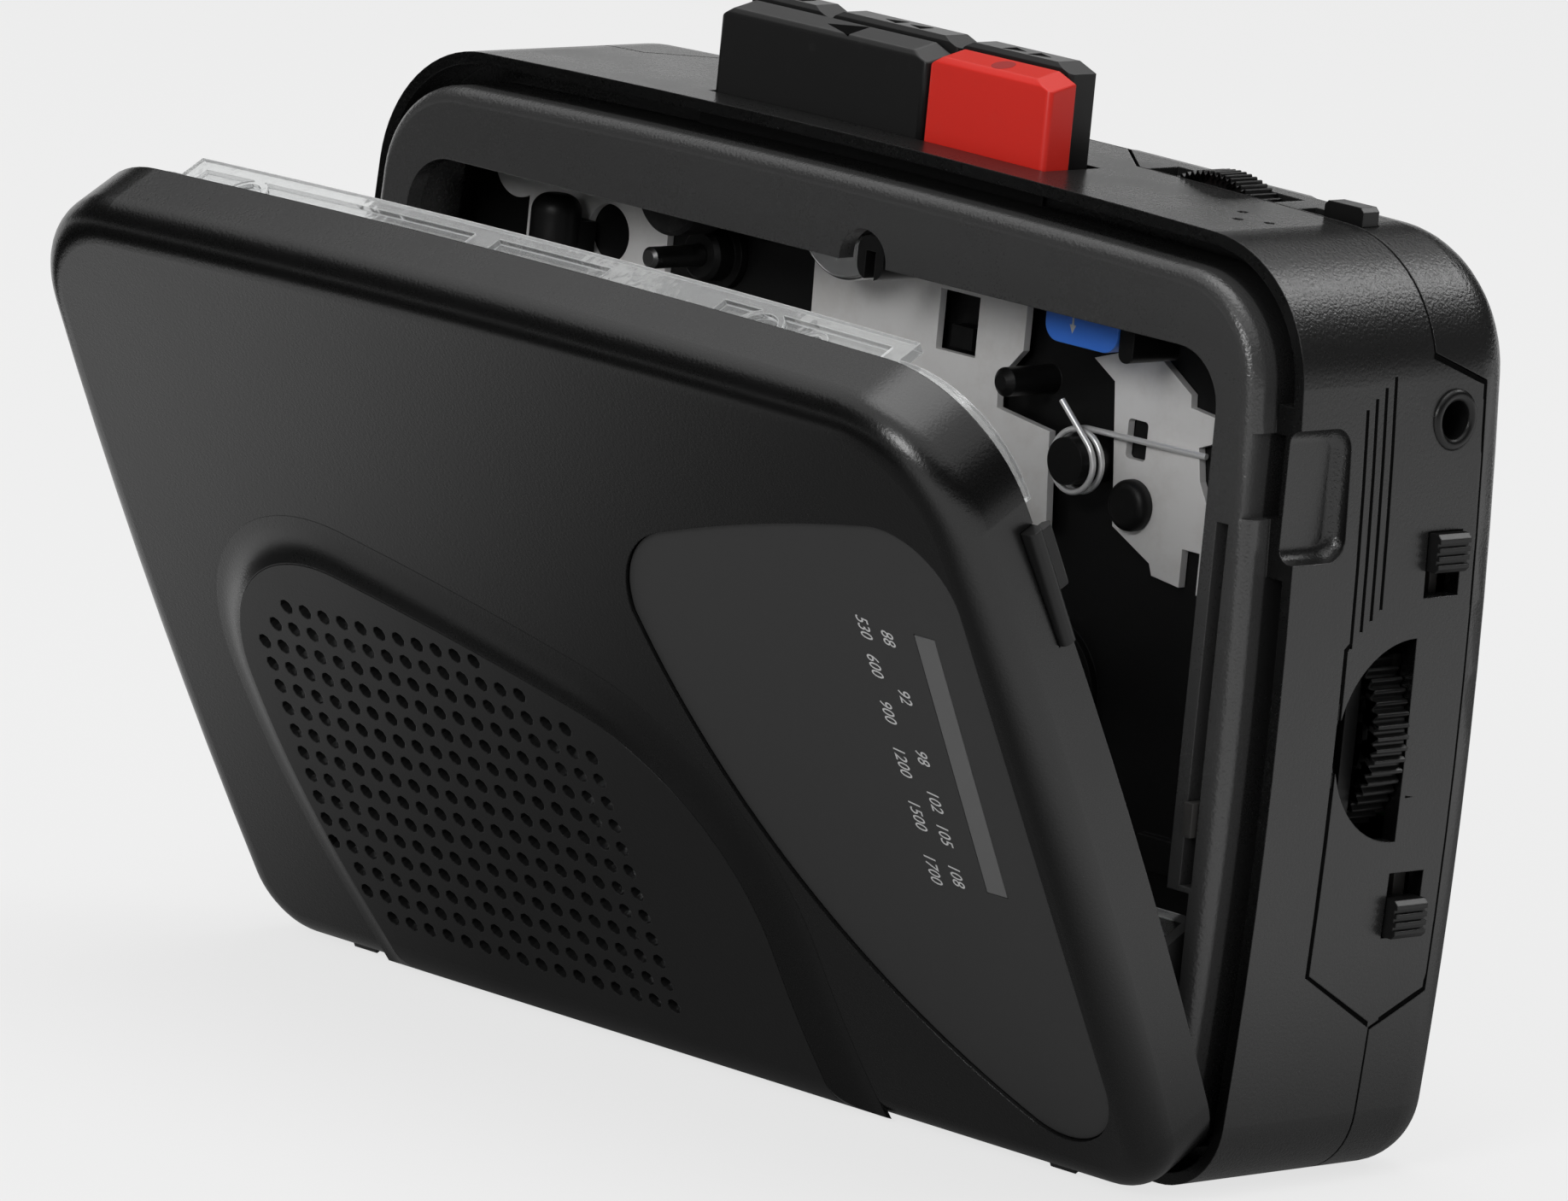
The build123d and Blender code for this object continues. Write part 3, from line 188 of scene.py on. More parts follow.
def mouldedPlastic(name, look):
    finish = Finish(name)
    grain = finish.noise(look["grain"], *look["grainKind"])
    smudge = finish.noise(*look["smudgeNoise"])
    dust = finish.band(finish.noise(*look["dustNoise"]), *look["dustBand"])
    edge, soft = finish.edges(look["edge"])
    shade = finish.mix(dust * look["dust"], look["colour"], look["pale"])
    shade = finish.mix(edge * look["wear"], shade, look["pale"])
    # Painted highlight: upward faces are mixed towards the pale grey, as if lit from above
    if look["paintedTopLight"]:
        upward = finish.band(finish.part(finish.facing(), "Z"), *look["upward"])
        shade = finish.mix(upward * look["paintedTopLight"], shade, look["pale"])
    # Painted light and shade: faces in front of the bezel line are mixed towards the pale grey as a painted
    # highlight, and forward faces behind it towards near-black as painted shade in the groove
    if look["bezel"]:
        behind = finish.band(finish.part(finish.place, "Y"), *look["bezel"])
        forward = finish.band(0 - finish.part(finish.facing(), "Y"), *look["forward"])
        shade = finish.mix(1 - behind, shade, look["pale"])
        shade = finish.mix(behind * forward, shade, look["groove"])
    finish.set({
        "Base Color": shade,
        "Roughness": look["roughness"] + (smudge - 0.5) * look["smudge"] + (grain - 0.5) * look["grainGloss"],
        "Specular IOR Level": look["specular"],
        "Normal": finish.bump(grain * (1 - finish.flatness() * look["calm"]), look["depth"], soft),
    })
    return finish.material


caseLook = {
    "colour": grey(0.012), "pale": grey(0.040), "roughness": 0.28, "specular": 0.55,
    "grain": 0.28 * mm, "grainKind": (2.0, 0.5), "grainGloss": 0.06, "depth": 0.055 * mm, "calm": 0.7,
    "smudge": 0.10, "smudgeNoise": (14 * mm, 4.0, 0.6),
    "dust": 0.08, "dustNoise": (2.2 * mm, 5.0, 0.7), "dustBand": (0.56, 0.8),
    "edge": 0.16 * mm, "wear": 0.25, "paintedTopLight": 0, "upward": (0.85, 0.95), "bezel": None,
}
# The front housing gets a painted paler bezel front and near-black painted shade in its groove
frontLook = dict(caseLook, bezel=(-14.5 * mm, -14.1 * mm), forward=(0.75, 0.95), groove=grey(0.001))
doorLook = dict(caseLook, colour=grey(0.0035), pale=grey(0.022), grain=0.26 * mm, depth=0.018 * mm)
grilleLook = dict(doorLook, colour=grey(0.007), depth=0.012 * mm, roughness=0.40, specular=0.45)
panelLook = dict(doorLook, colour=grey(0.036), pale=grey(0.060), grain=0.16 * mm, depth=0.006 * mm,
                 roughness=0.50, smudge=0.08, specular=0.20)
windowLook = dict(panelLook, colour=grey(0.10), pale=grey(0.12), grain=0.5 * mm, depth=0.002 * mm,
                  roughness=0.22)
# The key looks paint a highlight on upward faces, the red key only weakly
keyLook = dict(caseLook, colour=grey(0.013), pale=grey(0.085), grain=0.14 * mm, depth=0.005 * mm,
               roughness=0.30, specular=0.20, paintedTopLight=0.8, wear=0.12)
knobLook = dict(doorLook, colour=grey(0.006), grain=0.14 * mm, depth=0.005 * mm, roughness=0.30,
                specular=0.30)
innerLook = dict(doorLook, colour=grey(0.0045), grain=0.22 * mm, depth=0.010 * mm, roughness=0.45,
                 specular=0.25)
redLook = dict(caseLook, colour=(0.62, 0.022, 0.014, 1), pale=(0.72, 0.10, 0.075, 1), grain=0.16 * mm,
               depth=0.005 * mm, roughness=0.33, specular=0.3, wear=0.35, paintedTopLight=0.15)
blueLook = dict(caseLook, colour=(0.034, 0.155, 0.62, 1), pale=(0.10, 0.28, 0.66, 1), grain=0.2 * mm,
                depth=0.005 * mm, roughness=0.42, specular=0.4, wear=0.2)
partLook = dict(caseLook, colour=grey(0.030, 0.05), pale=grey(0.10, 0.05), grain=0.2 * mm, depth=0.01 * mm,
                roughness=0.5)


# Clear plastic with matt white edges as a painted highlight, and dark tinted feet

def clearPlastic(name, look):
    finish = Finish(name)
    scuff = finish.band(finish.noise(*look["scuffNoise"]), *look["scuffBand"])
    edge = finish.edges(look["edge"])[0]
    finish.set({
        "Base Color": look["colour"],
        "Roughness": look["roughness"] + scuff * look["scuff"],
        "IOR": look["ior"],
        "Transmission Weight": look["clear"],
        "Normal": finish.bump(finish.noise(*look["waveNoise"]), look["depth"]),
    })
    body = Value(finish, finish.shader.outputs[0])
    # Painted highlight: edges are blended towards a matt white, standing in for bright edge glints
    worn = finish.blend(edge * look["edgeGlint"], body, finish.matt(look["colour"]))
    outside = finish.band(abs(finish.part(finish.place, "X")), *look["footX"])
    above = finish.band(finish.part(finish.place, "Z"), *look["footZ"])
    tinted = finish.blend(outside * (1 - above), worn, finish.matt(look["footColour"]))
    finish.feed(finish.output.inputs["Surface"], tinted)
    return finish.material


holderLook = {
    "colour": (0.80, 0.81, 0.81, 1), "clear": 0.82, "ior": 1.49, "roughness": 0.07,
    "waveNoise": (2.4 * mm, 2.0, 0.4), "depth": 0.10 * mm,
    "scuff": 0.16, "scuffNoise": (1.4 * mm, 6.0, 0.7), "scuffBand": (0.6, 0.85),
    "edge": 0.26 * mm, "edgeGlint": 0.55,
    "footColour": grey(0.045), "footX": (49.2 * mm, 49.8 * mm), "footZ": (30 * mm, 31 * mm),
}


# Metals: drawn lines, dull patches, bright edges

def metal(name, look):
    finish = Finish(name)
    lines = finish.noise(*look["lineNoise"], finish.stretch(look["drawn"]))
    edge, soft = finish.edges(look["edge"])
    stain = finish.band(finish.noise(*look["stainNoise"]), *look["stainBand"])
    shade = finish.mix(stain * look["stain"], look["colour"], look["dull"])
    shade = finish.mix(edge * look["wear"], shade, look["bright"])
    finish.set({
        "Base Color": shade,
        "Metallic": look["metallic"],
        "Roughness": look["roughness"] + (lines - 0.5) * look["lineGloss"] + stain * look["stainGloss"],
        "Normal": finish.bump(lines, look["depth"], soft),
    })
    return finish.material


plateLook = {
    "colour": grey(0.78, 0.01), "dull": grey(0.64, 0.03), "bright": grey(0.90), "metallic": 0.25,
    "roughness": 0.46, "lineNoise": (0.5 * mm, 3.0, 0.6), "drawn": (0.08, 1, 1), "lineGloss": 0.16,
    "depth": 0.003 * mm, "stain": 0.6, "stainNoise": (5 * mm, 5.0, 0.65), "stainBand": (0.42, 0.72),
    "stainGloss": 0.10, "edge": 0.10 * mm, "wear": 0.5,
}
steelLook = dict(plateLook, colour=grey(0.68), dull=grey(0.52, 0.03), bright=grey(0.85), roughness=0.20,
                 stain=0.35, depth=0.0015 * mm, metallic=1.0)
springLook = dict(steelLook, colour=grey(0.86), dull=grey(0.70), bright=grey(0.95), roughness=0.30,
                  metallic=0.55)
shaftLook = dict(steelLook, colour=grey(0.22), dull=grey(0.14, 0.03), roughness=0.28)
brassLook = dict(steelLook, colour=(0.66, 0.46, 0.18, 1), dull=(0.42, 0.29, 0.12, 1),
                 bright=(0.8, 0.62, 0.3, 1))
contactLook = dict(steelLook, colour=grey(0.60, 0.03), roughness=0.28)


# Rubber with a pale bloom

rubberLook = {"colour": grey(0.010), "pale": grey(0.032), "bloomNoise": (1.8 * mm, 5.0, 0.7),
              "bloomBand": (0.45, 0.75), "roughness": 0.66, "bloomGloss": 0.2, "specular": 0.3,
              "grainNoise": (0.12 * mm, 2.0, 0.55), "depth": 0.012 * mm}


def rubber(name, look):
    finish = Finish(name)
    bloom = finish.noise(*look["bloomNoise"])
    finish.set({
        "Base Color": finish.mix(finish.band(bloom, *look["bloomBand"]), look["colour"], look["pale"]),
        "Roughness": look["roughness"] + (bloom - 0.5) * look["bloomGloss"],
        "Specular IOR Level": look["specular"],
        "Normal": finish.bump(finish.noise(*look["grainNoise"]), look["depth"]),
    })
    return finish.material


# Fibrous paper of the speaker's cone

paperLook = {"colour": grey(0.006), "pale": grey(0.026, 0.04), "fibreNoise": (0.5 * mm, 6.0, 0.75),
             "roughness": 0.85, "specular": 0.2, "depth": 0.05 * mm}


def conePaper(name, look):
    finish = Finish(name)
    fibre = finish.noise(*look["fibreNoise"])
    finish.set({
        "Base Color": finish.mix(fibre, look["colour"], look["pale"]),
        "Roughness": look["roughness"],
        "Specular IOR Level": look["specular"],
        "Normal": finish.bump(fibre, look["depth"]),
    })
    return finish.material


# Scuffed jackets of the cells

jacketLook = {"colour": (0.06, 0.065, 0.075, 1), "pale": (0.22, 0.22, 0.23, 1), "scuff": 0.4,
              "scuffNoise": (1.2 * mm, 5.0, 0.7), "scuffBand": (0.55, 0.8), "roughness": 0.28,
              "scuffGloss": 0.2, "coat": 0.3}


def cellJacket(name, look):
    finish = Finish(name)
    scuff = finish.band(finish.noise(*look["scuffNoise"]), *look["scuffBand"])
    finish.set({
        "Base Color": finish.mix(scuff * look["scuff"], look["colour"], look["pale"]),
        "Roughness": look["roughness"] + scuff * look["scuffGloss"],
        "Coat Weight": look["coat"],
    })
    return finish.material


# Green board with tracks

boardLook = {"dark": (0.010, 0.052, 0.018, 1), "light": (0.018, 0.085, 0.030, 1),
             "track": (0.045, 0.15, 0.055, 1), "pitch": 14 * mm, "turn": (math.pi / 2, 0, 0), "offset": 0.5,
             "width": 0.05, "smooth": 0.3, "mottleNoise": (3 * mm, 4.0, 0.55), "mottleGloss": 0.15,
             "roughness": 0.38, "depth": 0.03 * mm}


def boardResist(name, look):
    finish = Finish(name)
    track = finish.add("ShaderNodeTexBrick", {"offset": look["offset"]}, {
        "Vector": finish.stretch((1, 1, 1), look["turn"]), "Scale": 1 / look["pitch"],
        "Mortar Size": look["width"], "Mortar Smooth": look["smooth"]}, "Fac")
    mottle = finish.noise(*look["mottleNoise"])
    base = finish.mix(mottle, look["dark"], look["light"])
    finish.set({
        "Base Color": finish.mix(track, base, look["track"]),
        "Roughness": look["roughness"] + (mottle - 0.5) * look["mottleGloss"],
        "Normal": finish.bump(track, look["depth"]),
    })
    return finish.material


# Printed ink, and a near-black with little gloss, used for printed signs and as painted shade in sunk lines

inkLook = {"wornNoise": (0.5 * mm, 4.0, 0.7), "wornBand": (0.3, 0.75), "worn": 0.25, "roughness": 0.5,
           "depth": 0.004 * mm}
lineLook = {"colour": grey(0.0012), "pale": grey(0.006), "dustNoise": (0.8 * mm, 4.0, 0.7),
            "dustBand": (0.5, 0.8), "dust": 0.5, "roughness": 0.8, "dustGloss": 0.1, "specular": 0.04}


def printInk(name, look, colour, thin):
    finish = Finish(name)
    worn = finish.noise(*look["wornNoise"])
    finish.set({
        "Base Color": finish.mix(finish.band(worn, *look["wornBand"]) * look["worn"], colour, thin),
        "Roughness": look["roughness"],
        "Normal": finish.bump(worn, look["depth"]),
    })
    return finish.material


def lineShade(name, look):
    finish = Finish(name)
    dust = finish.band(finish.noise(*look["dustNoise"]), *look["dustBand"])
    finish.set({
        "Base Color": finish.mix(dust * look["dust"], look["colour"], look["pale"]),
        "Roughness": look["roughness"] + dust * look["dustGloss"],
        "Specular IOR Level": look["specular"],
    })
    return finish.material


whiteInk = printInk("whiteInk", inkLook, grey(0.45), grey(0.2))
redInk = printInk("redInk", inkLook, (0.30, 0.010, 0.008, 1), (0.36, 0.02, 0.015, 1))
blackInkAndShade = lineShade("blackInkAndShade", lineLook)
blackKey = mouldedPlastic("blackKey", keyLook)
redKey = mouldedPlastic("redKey", redLook)
blackKnob = mouldedPlastic("blackKnob", knobLook)
deckPlastic = mouldedPlastic("deckPlastic", innerLook)

dressing = [
    (mouldedPlastic("mouldedFront", frontLook), "front_housing"),
    (mouldedPlastic("mouldedCase", caseLook), "rear_cover battery_cover"),
    (mouldedPlastic("mouldedDoor", doorLook), "door_shell"),
    (mouldedPlastic("mouldedGrille", grilleLook), "speaker_grille"),
    (mouldedPlastic("dialPanel", panelLook), "dial_panel"),
    (blackKey, "key_stop key_rewind key_forward key_play"),
    (blackKnob, "tuning_wheel volume_wheel source_knob band_knob mode_knob door_latch phones_jack "
                "tape_guide"),
    (deckPlastic, "deck cassette_guide key_bracket supply_spindle takeup_spindle battery_tray erase_bracket "
                  "capstan_bearing pinch_arm"),
    (redKey, "key_record"),
    (mouldedPlastic("blueHead", blueLook), "erase_head"),
    (mouldedPlastic("partPlastic", partLook),
     "source_switch band_switch mode_switch tuning_capacitor volume_pot microphone dial_pointer"),
    (clearPlastic("clearHolder", holderLook), "cassette_holder"),
    (mouldedPlastic("smokedWindow", windowLook), "dial_window"),
    (metal("zincPlate", plateLook), "side_plate left_plate head_plate speaker_driver"),
    (metal("brightSteel", steelLook), "tape_head hinge_pins holder_screws rear_screws motor"),
    (metal("brightWire", springLook), "torsion_spring"),
    (metal("darkShaft", shaftLook), "capstan"),
    (metal("brassTurned", brassLook), "motor_pulley flywheel"),
    (metal("contactSpring", contactLook), "battery_contacts"),
    (rubber("blackRubber", rubberLook), "pinch_roller drive_belt"),
    (conePaper("conePaper", paperLook), "speaker_cone"),
    (cellJacket("cellJacket", jacketLook), "battery_cells"),
    (boardResist("greenBoard", boardLook), "circuit_board"),
]
for material, names in dressing:
    for name in names.split():
        nodes[name].data.materials.clear()
        nodes[name].data.materials.append(material)
print("finishes set:", len(dressing))


# Helpers for pieces

def addPiece(name, mesh, material, body):
    piece = bpy.data.objects.new(name, mesh)
    bpy.context.scene.collection.objects.link(piece)
    mesh.materials.clear()
    mesh.materials.append(material)
    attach(piece, body)
    return piece


def meshFrom(shape, name):
    mesh = bpy.data.meshes.new(name)
    shape.to_mesh(mesh)
    shape.free()
    return mesh


def joined(meshes, name):
    shape = bmesh.new()
    for mesh in meshes:
        shape.from_mesh(mesh)
    return meshFrom(shape, name)


def extruded(shape, faces):
    copies = bmesh.ops.extrude_face_region(shape, geom=faces)["geom"]
    return [item for item in copies if isinstance(item, bmesh.types.BMVert)]


def thicken(shape, faces, offset):
    bmesh.ops.translate(shape, vec=offset, verts=extruded(shape, faces))
    bmesh.ops.recalc_face_normals(shape, faces=shape.faces)


def prism(corners, low, high):
    shape = bmesh.new()
    base = shape.faces.new([shape.verts.new((x, y, low)) for x, y in corners])
    thicken(shape, [base], (0, 0, high - low))
    return meshFrom(shape, "prism")


def strip(steps):
    shape = bmesh.new()
    bmesh.ops.create_grid(shape, x_segments=steps, y_segments=1, size=1)
    return shape


def lettering(text, size, thick, smooth):
    curve = bpy.data.curves.new("lettering", "FONT")
    curve.body = text
    curve.size = size
    curve.align_x = "CENTER"
    curve.align_y = "CENTER"
    curve.extrude = thick / 2
    curve.resolution_u = smooth
    holder = bpy.data.objects.new("lettering", curve)
    mesh = bpy.data.meshes.new_from_object(holder)
    bpy.data.objects.remove(holder)
    return mesh


# Plain numbers on the dial, reading downwards beside the window, on the door as it stands open

dial = {
    "thick": 0.03 * mm, "size": 1.95 * mm, "narrow": 0.82, "slant": 0.18, "smooth": 3,
    "rows": [
        {"x": (44.2, 43.3),
         "marks": {"88": 58.7, "92": 52.6, "98": 46.3, "102": 41.7, "105": 38.2, "108": 33.9}},
        {"x": (41.5, 40.5),
         "marks": {"530": 59.2, "600": 55.2, "900": 50.4, "1200": 45.2, "1500": 39.6, "1700": 33.9}},
    ],
}
hinge = next(joint for joint in frame["joints"] if joint["name"] == "door_hinge")
pin = Matrix.Translation(hinge["pos_m"])
openDoor = pin @ Matrix.Rotation(math.radians(-hinge["range_deg"][0]), 4, "X") @ pin.inverted()
shutDoor = openDoor.inverted()
downwards = Matrix(((0, 1, 0, 0), (0, 0, -1, 0), (-1, 0, 0, 0), (0, 0, 0, 1)))
slim = Matrix(((dial["narrow"], dial["slant"], 0, 0), (0, 1, 0, 0), (0, 0, 1, 0), (0, 0, 0, 1)))


def dialFigures():
    face = min((shutDoor @ vertex.co).y for vertex in nodes["dial_panel"].data.vertices)
    figures = []
    for row in dial["rows"]:
        heights = list(row["marks"].values())
        first, last = row["x"]
        for mark, height in row["marks"].items():
            along = (heights[0] - height) / (heights[0] - heights[-1])
            place = Vector((first + (last - first) * along, 0, height)) * mm
            place.y = face
            figure = lettering(mark, dial["size"], dial["thick"], dial["smooth"])
            figure.transform(openDoor @ Matrix.Translation(place) @ downwards @ slim)
            figures.append(figure)
    return figures


addPiece("dial_numbers", joined(dialFigures(), "dial_numbers"), whiteInk, "door")
print("dial numbers placed")


# Front keys with tops that rise towards the rear, and a rounded outer edge

keyCaps = {"rise": 0.7 * mm, "top": 4.0 * mm, "merge": 0.001 * mm, "flat": math.radians(1), "near": 0.05 * mm,
           "round": 0.9 * mm, "roundSteps": 4, "soft": 0.15 * mm, "softSteps": 2, "sharp": 0.35}


def bevelEdges(shape, edges, width, segments, clamp):
    bmesh.ops.bevel(shape, geom=edges, offset=width, offset_type="OFFSET", affect="EDGES", segments=segments,
                    profile=0.5, material=-1, clamp_overlap=clamp)


def leaningKey(node, material):
    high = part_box(node)[1]
    shape = bmesh.new()
    shape.from_mesh(nodes[node].data)
    bmesh.ops.remove_doubles(shape, verts=shape.verts, dist=keyCaps["merge"])
    bmesh.ops.dissolve_limit(shape, angle_limit=keyCaps["flat"], verts=shape.verts, edges=shape.edges)
    tops = [vertex for vertex in shape.verts if vertex.co.z > high.z - keyCaps["top"]]
    front = min(vertex.co.y for vertex in tops)
    rear = max(vertex.co.y for vertex in tops)
    lean = keyCaps["rise"] / (rear - front)
    for vertex in tops:
        vertex.co.z += (vertex.co.y - front) * lean

    def atCorner(vertex):
        return abs(vertex.co.x - high.x) < keyCaps["near"] and abs(vertex.co.y - front) < keyCaps["near"]

    corner = [edge for edge in shape.edges if all(atCorner(vertex) for vertex in edge.verts)]
    bevelEdges(shape, corner, keyCaps["round"], keyCaps["roundSteps"], False)
    upper = [edge for edge in shape.edges if edge.is_manifold and edge.calc_face_angle() > keyCaps["sharp"]
             and all(vertex.co.z > high.z - keyCaps["top"] for vertex in edge.verts)]
    bevelEdges(shape, upper, keyCaps["soft"], keyCaps["softSteps"], True)
    bmesh.ops.recalc_face_normals(shape, faces=shape.faces)
    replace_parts(addPiece(node + "_cap", meshFrom(shape, node + "_cap"), material, node), node)
    return front, lean


leans = {"key_play": leaningKey("key_play", blackKey),
         "key_record": leaningKey("key_record", redKey)}
print("front keys shaped:", len(leans))


# Signs on the key tops: triangles, a square and a dot

keySigns = {"large": 2.7 * mm, "small": 1.7 * mm, "dot": 0.8, "apart": 0.9, "aside": 1.4 * mm, "long": 1.9,
            "short": 1.4, "proud": 0.02 * mm, "sunk": 0.2 * mm, "segments": 24}


def triangle(x, y, size, way, length):
    half = size / 2
    return [(x - half * way, y - half), (x + length * half * way, y), (x - half * way, y + half)]


def playSign(x, y):
    return [triangle(x + keySigns["aside"], y, keySigns["large"], -1, keySigns["long"])]


def recordSign(x, y):
    radius = keySigns["large"] * keySigns["dot"] / 2
    turns = [2 * math.pi * step / keySigns["segments"] for step in range(keySigns["segments"])]
    return [[(x + radius * math.cos(turn), y + radius * math.sin(turn)) for turn in turns]]


def stopSign(x, y):
    half = keySigns["small"] / 2
    return [[(x - half, y - half), (x + half, y - half), (x + half, y + half), (x - half, y + half)]]


def windSign(x, y, way):
    apart = keySigns["small"] * keySigns["apart"]
    return [triangle(x + step, y, keySigns["small"], way, keySigns["short"]) for step in (-apart, apart)]


def rewindSign(x, y):
    return windSign(x, y, -1)


def forwardSign(x, y):
    return windSign(x, y, 1)


def keySign(node, ink, outlines):
    low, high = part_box(node)
    centre = (low + high) / 2
    front, lean = leans.get(node, (0, 0))
    signs = [prism(outline, high.z - keySigns["sunk"], high.z + keySigns["proud"])
             for outline in outlines(centre.x, centre.y)]
    for sign in signs:
        for vertex in sign.vertices:
            vertex.co.z += (vertex.co.y - front) * lean
    addPiece(node + "_sign", joined(signs, node + "_sign"), ink, node)


keySign("key_play", blackInkAndShade, playSign)
keySign("key_record", redInk, recordSign)
keySign("key_stop", blackInkAndShade, stopSign)
keySign("key_rewind", blackInkAndShade, rewindSign)
keySign("key_forward", blackInkAndShade, forwardSign)
print("key signs placed")


# Near-black strips sunk in the case's right side, on the surface that they are found on: painted shade in the
# grooves, dark joints along the seams, and two chevron signs

sideLines = {
    "width": 0.40 * mm, "seam": 0.42 * mm, "sign": 0.30 * mm,
    "sunk": 0.01 * mm, "thick": 0.22 * mm, "step": 1.5 * mm, "beside": 0.6 * mm,
    "grooves": [[(-6.45, 19.3), (-6.45, 48.1), (-5.9, 48.9), (-5.9, 69.0)], [(-6.45, 19.3), (2.4, 14.3)],
                [(-4.77, 49.7), (-4.77, 69.9)], [(-3.64, 50.6), (-3.64, 70.8)],
                [(-2.51, 51.5), (-2.51, 71.7)]],
    "seams": [[(2.4, 73.2), (8.9, 70.6), (8.9, 17.1), (2.4, 14.1), (2.4, 4.0)]],
    "signs": [[(4.0, 46.2), (5.3, 44.4), (3.1, 44.4)], [(4.0, 32.9), (5.3, 34.7), (3.1, 34.7)]],
}
caseShape = bmesh.new()
for name in ("front_housing", "rear_cover"):
    caseShape.from_mesh(nodes[name].data)
caseSurface = BVHTree.FromBMesh(caseShape)
caseShape.free()


def sideAt(y, z):
    return caseSurface.ray_cast(Vector((cadBox[1][0] + mm, y, z)), Vector((-1, 0, 0)))[0].x


def sunkLine(route, width):
    corners = [Vector(corner) * mm for corner in route]
    points = []
    for first, last in zip(corners, corners[1:]):
        count = max(1, round((last - first).length / sideLines["step"]))
        points += [first.lerp(last, part / count) for part in range(count)]
    points.append(corners[-1])
    final = len(points) - 1
    shape = strip(final)
    for vertex in shape.verts:
        index = round((vertex.co.x + 1) / 2 * final)
        along = (points[min(index + 1, final)] - points[max(index - 1, 0)]).normalized()
        across = Vector((along.y, -along.x))
        beside = points[index] + across * sideLines["beside"]
        place = points[index] + across * math.copysign(width / 2, vertex.co.y)
        vertex.co = (sideAt(beside.x, beside.y) - sideLines["sunk"], place.x, place.y)
    thicken(shape, shape.faces[:], (-sideLines["thick"], 0, 0))
    return meshFrom(shape, "line")


for name, routes, width in (("side_groove_shade", "grooves", "width"), ("side_seams", "seams", "seam"),
                            ("side_signs", "signs", "sign")):
    lines = [sunkLine(route, sideLines[width]) for route in sideLines[routes]]
    addPiece(name, joined(lines, name), blackInkAndShade, "housing")


# Seam over the upper right corner, found by rays towards a point inside it

cornerSeam = {"middle": Vector((35.0, 2.4, 60.0)) * mm, "turns": (29.5, 78.0), "steps": 24, "far": 80.0 * mm}


def cornerStrip():
    middle = cornerSeam["middle"]
    beside = middle + Vector((0, sideLines["beside"], 0))
    first, last = [math.radians(turn) for turn in cornerSeam["turns"]]
    shape = strip(cornerSeam["steps"])
    for vertex in shape.verts:
        turn = first + (last - first) * (vertex.co.x + 1) / 2
        outward = Vector((math.cos(turn), 0, math.sin(turn)))
        place = caseSurface.ray_cast(beside + outward * cornerSeam["far"], -outward)[0]
        place -= outward * sideLines["sunk"]
        place.y = middle.y + math.copysign(sideLines["seam"] / 2, vertex.co.y)
        vertex.co = place
    for vertex in extruded(shape, shape.faces[:]):
        inward = middle - vertex.co
        inward.y = 0
        vertex.co += inward.normalized() * sideLines["thick"]
    bmesh.ops.recalc_face_normals(shape, faces=shape.faces)
    return meshFrom(shape, "corner_seam")


addPiece("corner_seam", cornerStrip(), blackInkAndShade, "housing")
print("side lines placed")


# Tuning and volume wheels with fine milled rims

milled = {"dish": 1.6 * mm, "wall": 0.3 * mm, "hollow": 0.5 * mm, "hub": 1.8 * mm, "reach": 1.0 * mm,
          "points": 4, "hubSides": 32,
          "wheels": {"tuning_wheel": (62, 0.55 * mm), "volume_wheel": (84, 0.35 * mm)}}


def milledWheel(node, teeth, deep):
    low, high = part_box(node)
    centre = (low + high) / 2
    radius = (high.x - low.x) / 2
    points, reach = milled["points"], milled["reach"]
    width = high.y - low.y - reach
    shape = bmesh.new()
    rim = bmesh.ops.create_circle(shape, cap_ends=True, radius=radius, segments=teeth * points)["verts"]
    for index, vertex in enumerate(rim):
        if index % points >= points // 2:
            vertex.co *= (radius - deep) / radius
    thicken(shape, shape.faces[:], (0, 0, width))
    ends = [face for face in shape.faces if len(face.verts) > 4]
    bmesh.ops.inset_region(shape, faces=ends, thickness=milled["dish"], use_even_offset=False)
    bmesh.ops.inset_region(shape, faces=ends, thickness=milled["wall"], depth=-milled["hollow"],
                           use_even_offset=False)
    shaft = bmesh.ops.create_cone(shape, cap_ends=True, segments=milled["hubSides"], radius1=milled["hub"],
                                  radius2=milled["hub"], depth=width)["verts"]
    bmesh.ops.translate(shape, vec=(0, 0, width / 2 + reach), verts=shaft)
    shape.transform(Matrix.Translation((centre.x, low.y, centre.z)) @ Matrix.Rotation(-math.pi / 2, 4, "X"))
    rimMesh = meshFrom(shape, node + "_rim")
    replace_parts(addPiece(node + "_rim", rimMesh, blackKnob, node), node)


for node, (teeth, deep) in milled["wheels"].items():
    milledWheel(node, teeth, deep)
print("wheels milled:", len(milled["wheels"]))


# Rounded ring round the headphone socket

jackRing = {"radius": 2.2 * mm, "thick": 0.5 * mm, "flat": 0.8, "steps": 48, "sides": 16, "beside": 4.0 * mm}


def ringMesh():
    low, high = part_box("phones_jack")
    centre = (low + high) / 2
    centre.x = sideAt(centre.y + jackRing["beside"], centre.z)
    shape = bmesh.new()
    bmesh.ops.create_circle(shape, radius=jackRing["thick"], segments=jackRing["sides"])
    flatten = Matrix.Diagonal((jackRing["flat"], 1, 1, 1))
    shape.transform(Matrix.Translation((0, jackRing["radius"], 0)) @ flatten)
    bmesh.ops.spin(shape, geom=shape.verts[:] + shape.edges[:], axis=(1, 0, 0), cent=(0, 0, 0),
                   angle=2 * math.pi, steps=jackRing["steps"], use_merge=True)
    bmesh.ops.recalc_face_normals(shape, faces=shape.faces)
    for face in shape.faces:
        face.smooth = True
    shape.transform(Matrix.Translation(centre))
    return meshFrom(shape, "jack_ring")


addPiece("jack_ring", ringMesh(), blackKnob, "housing")


# Wall behind the door's groove, in front of the keys

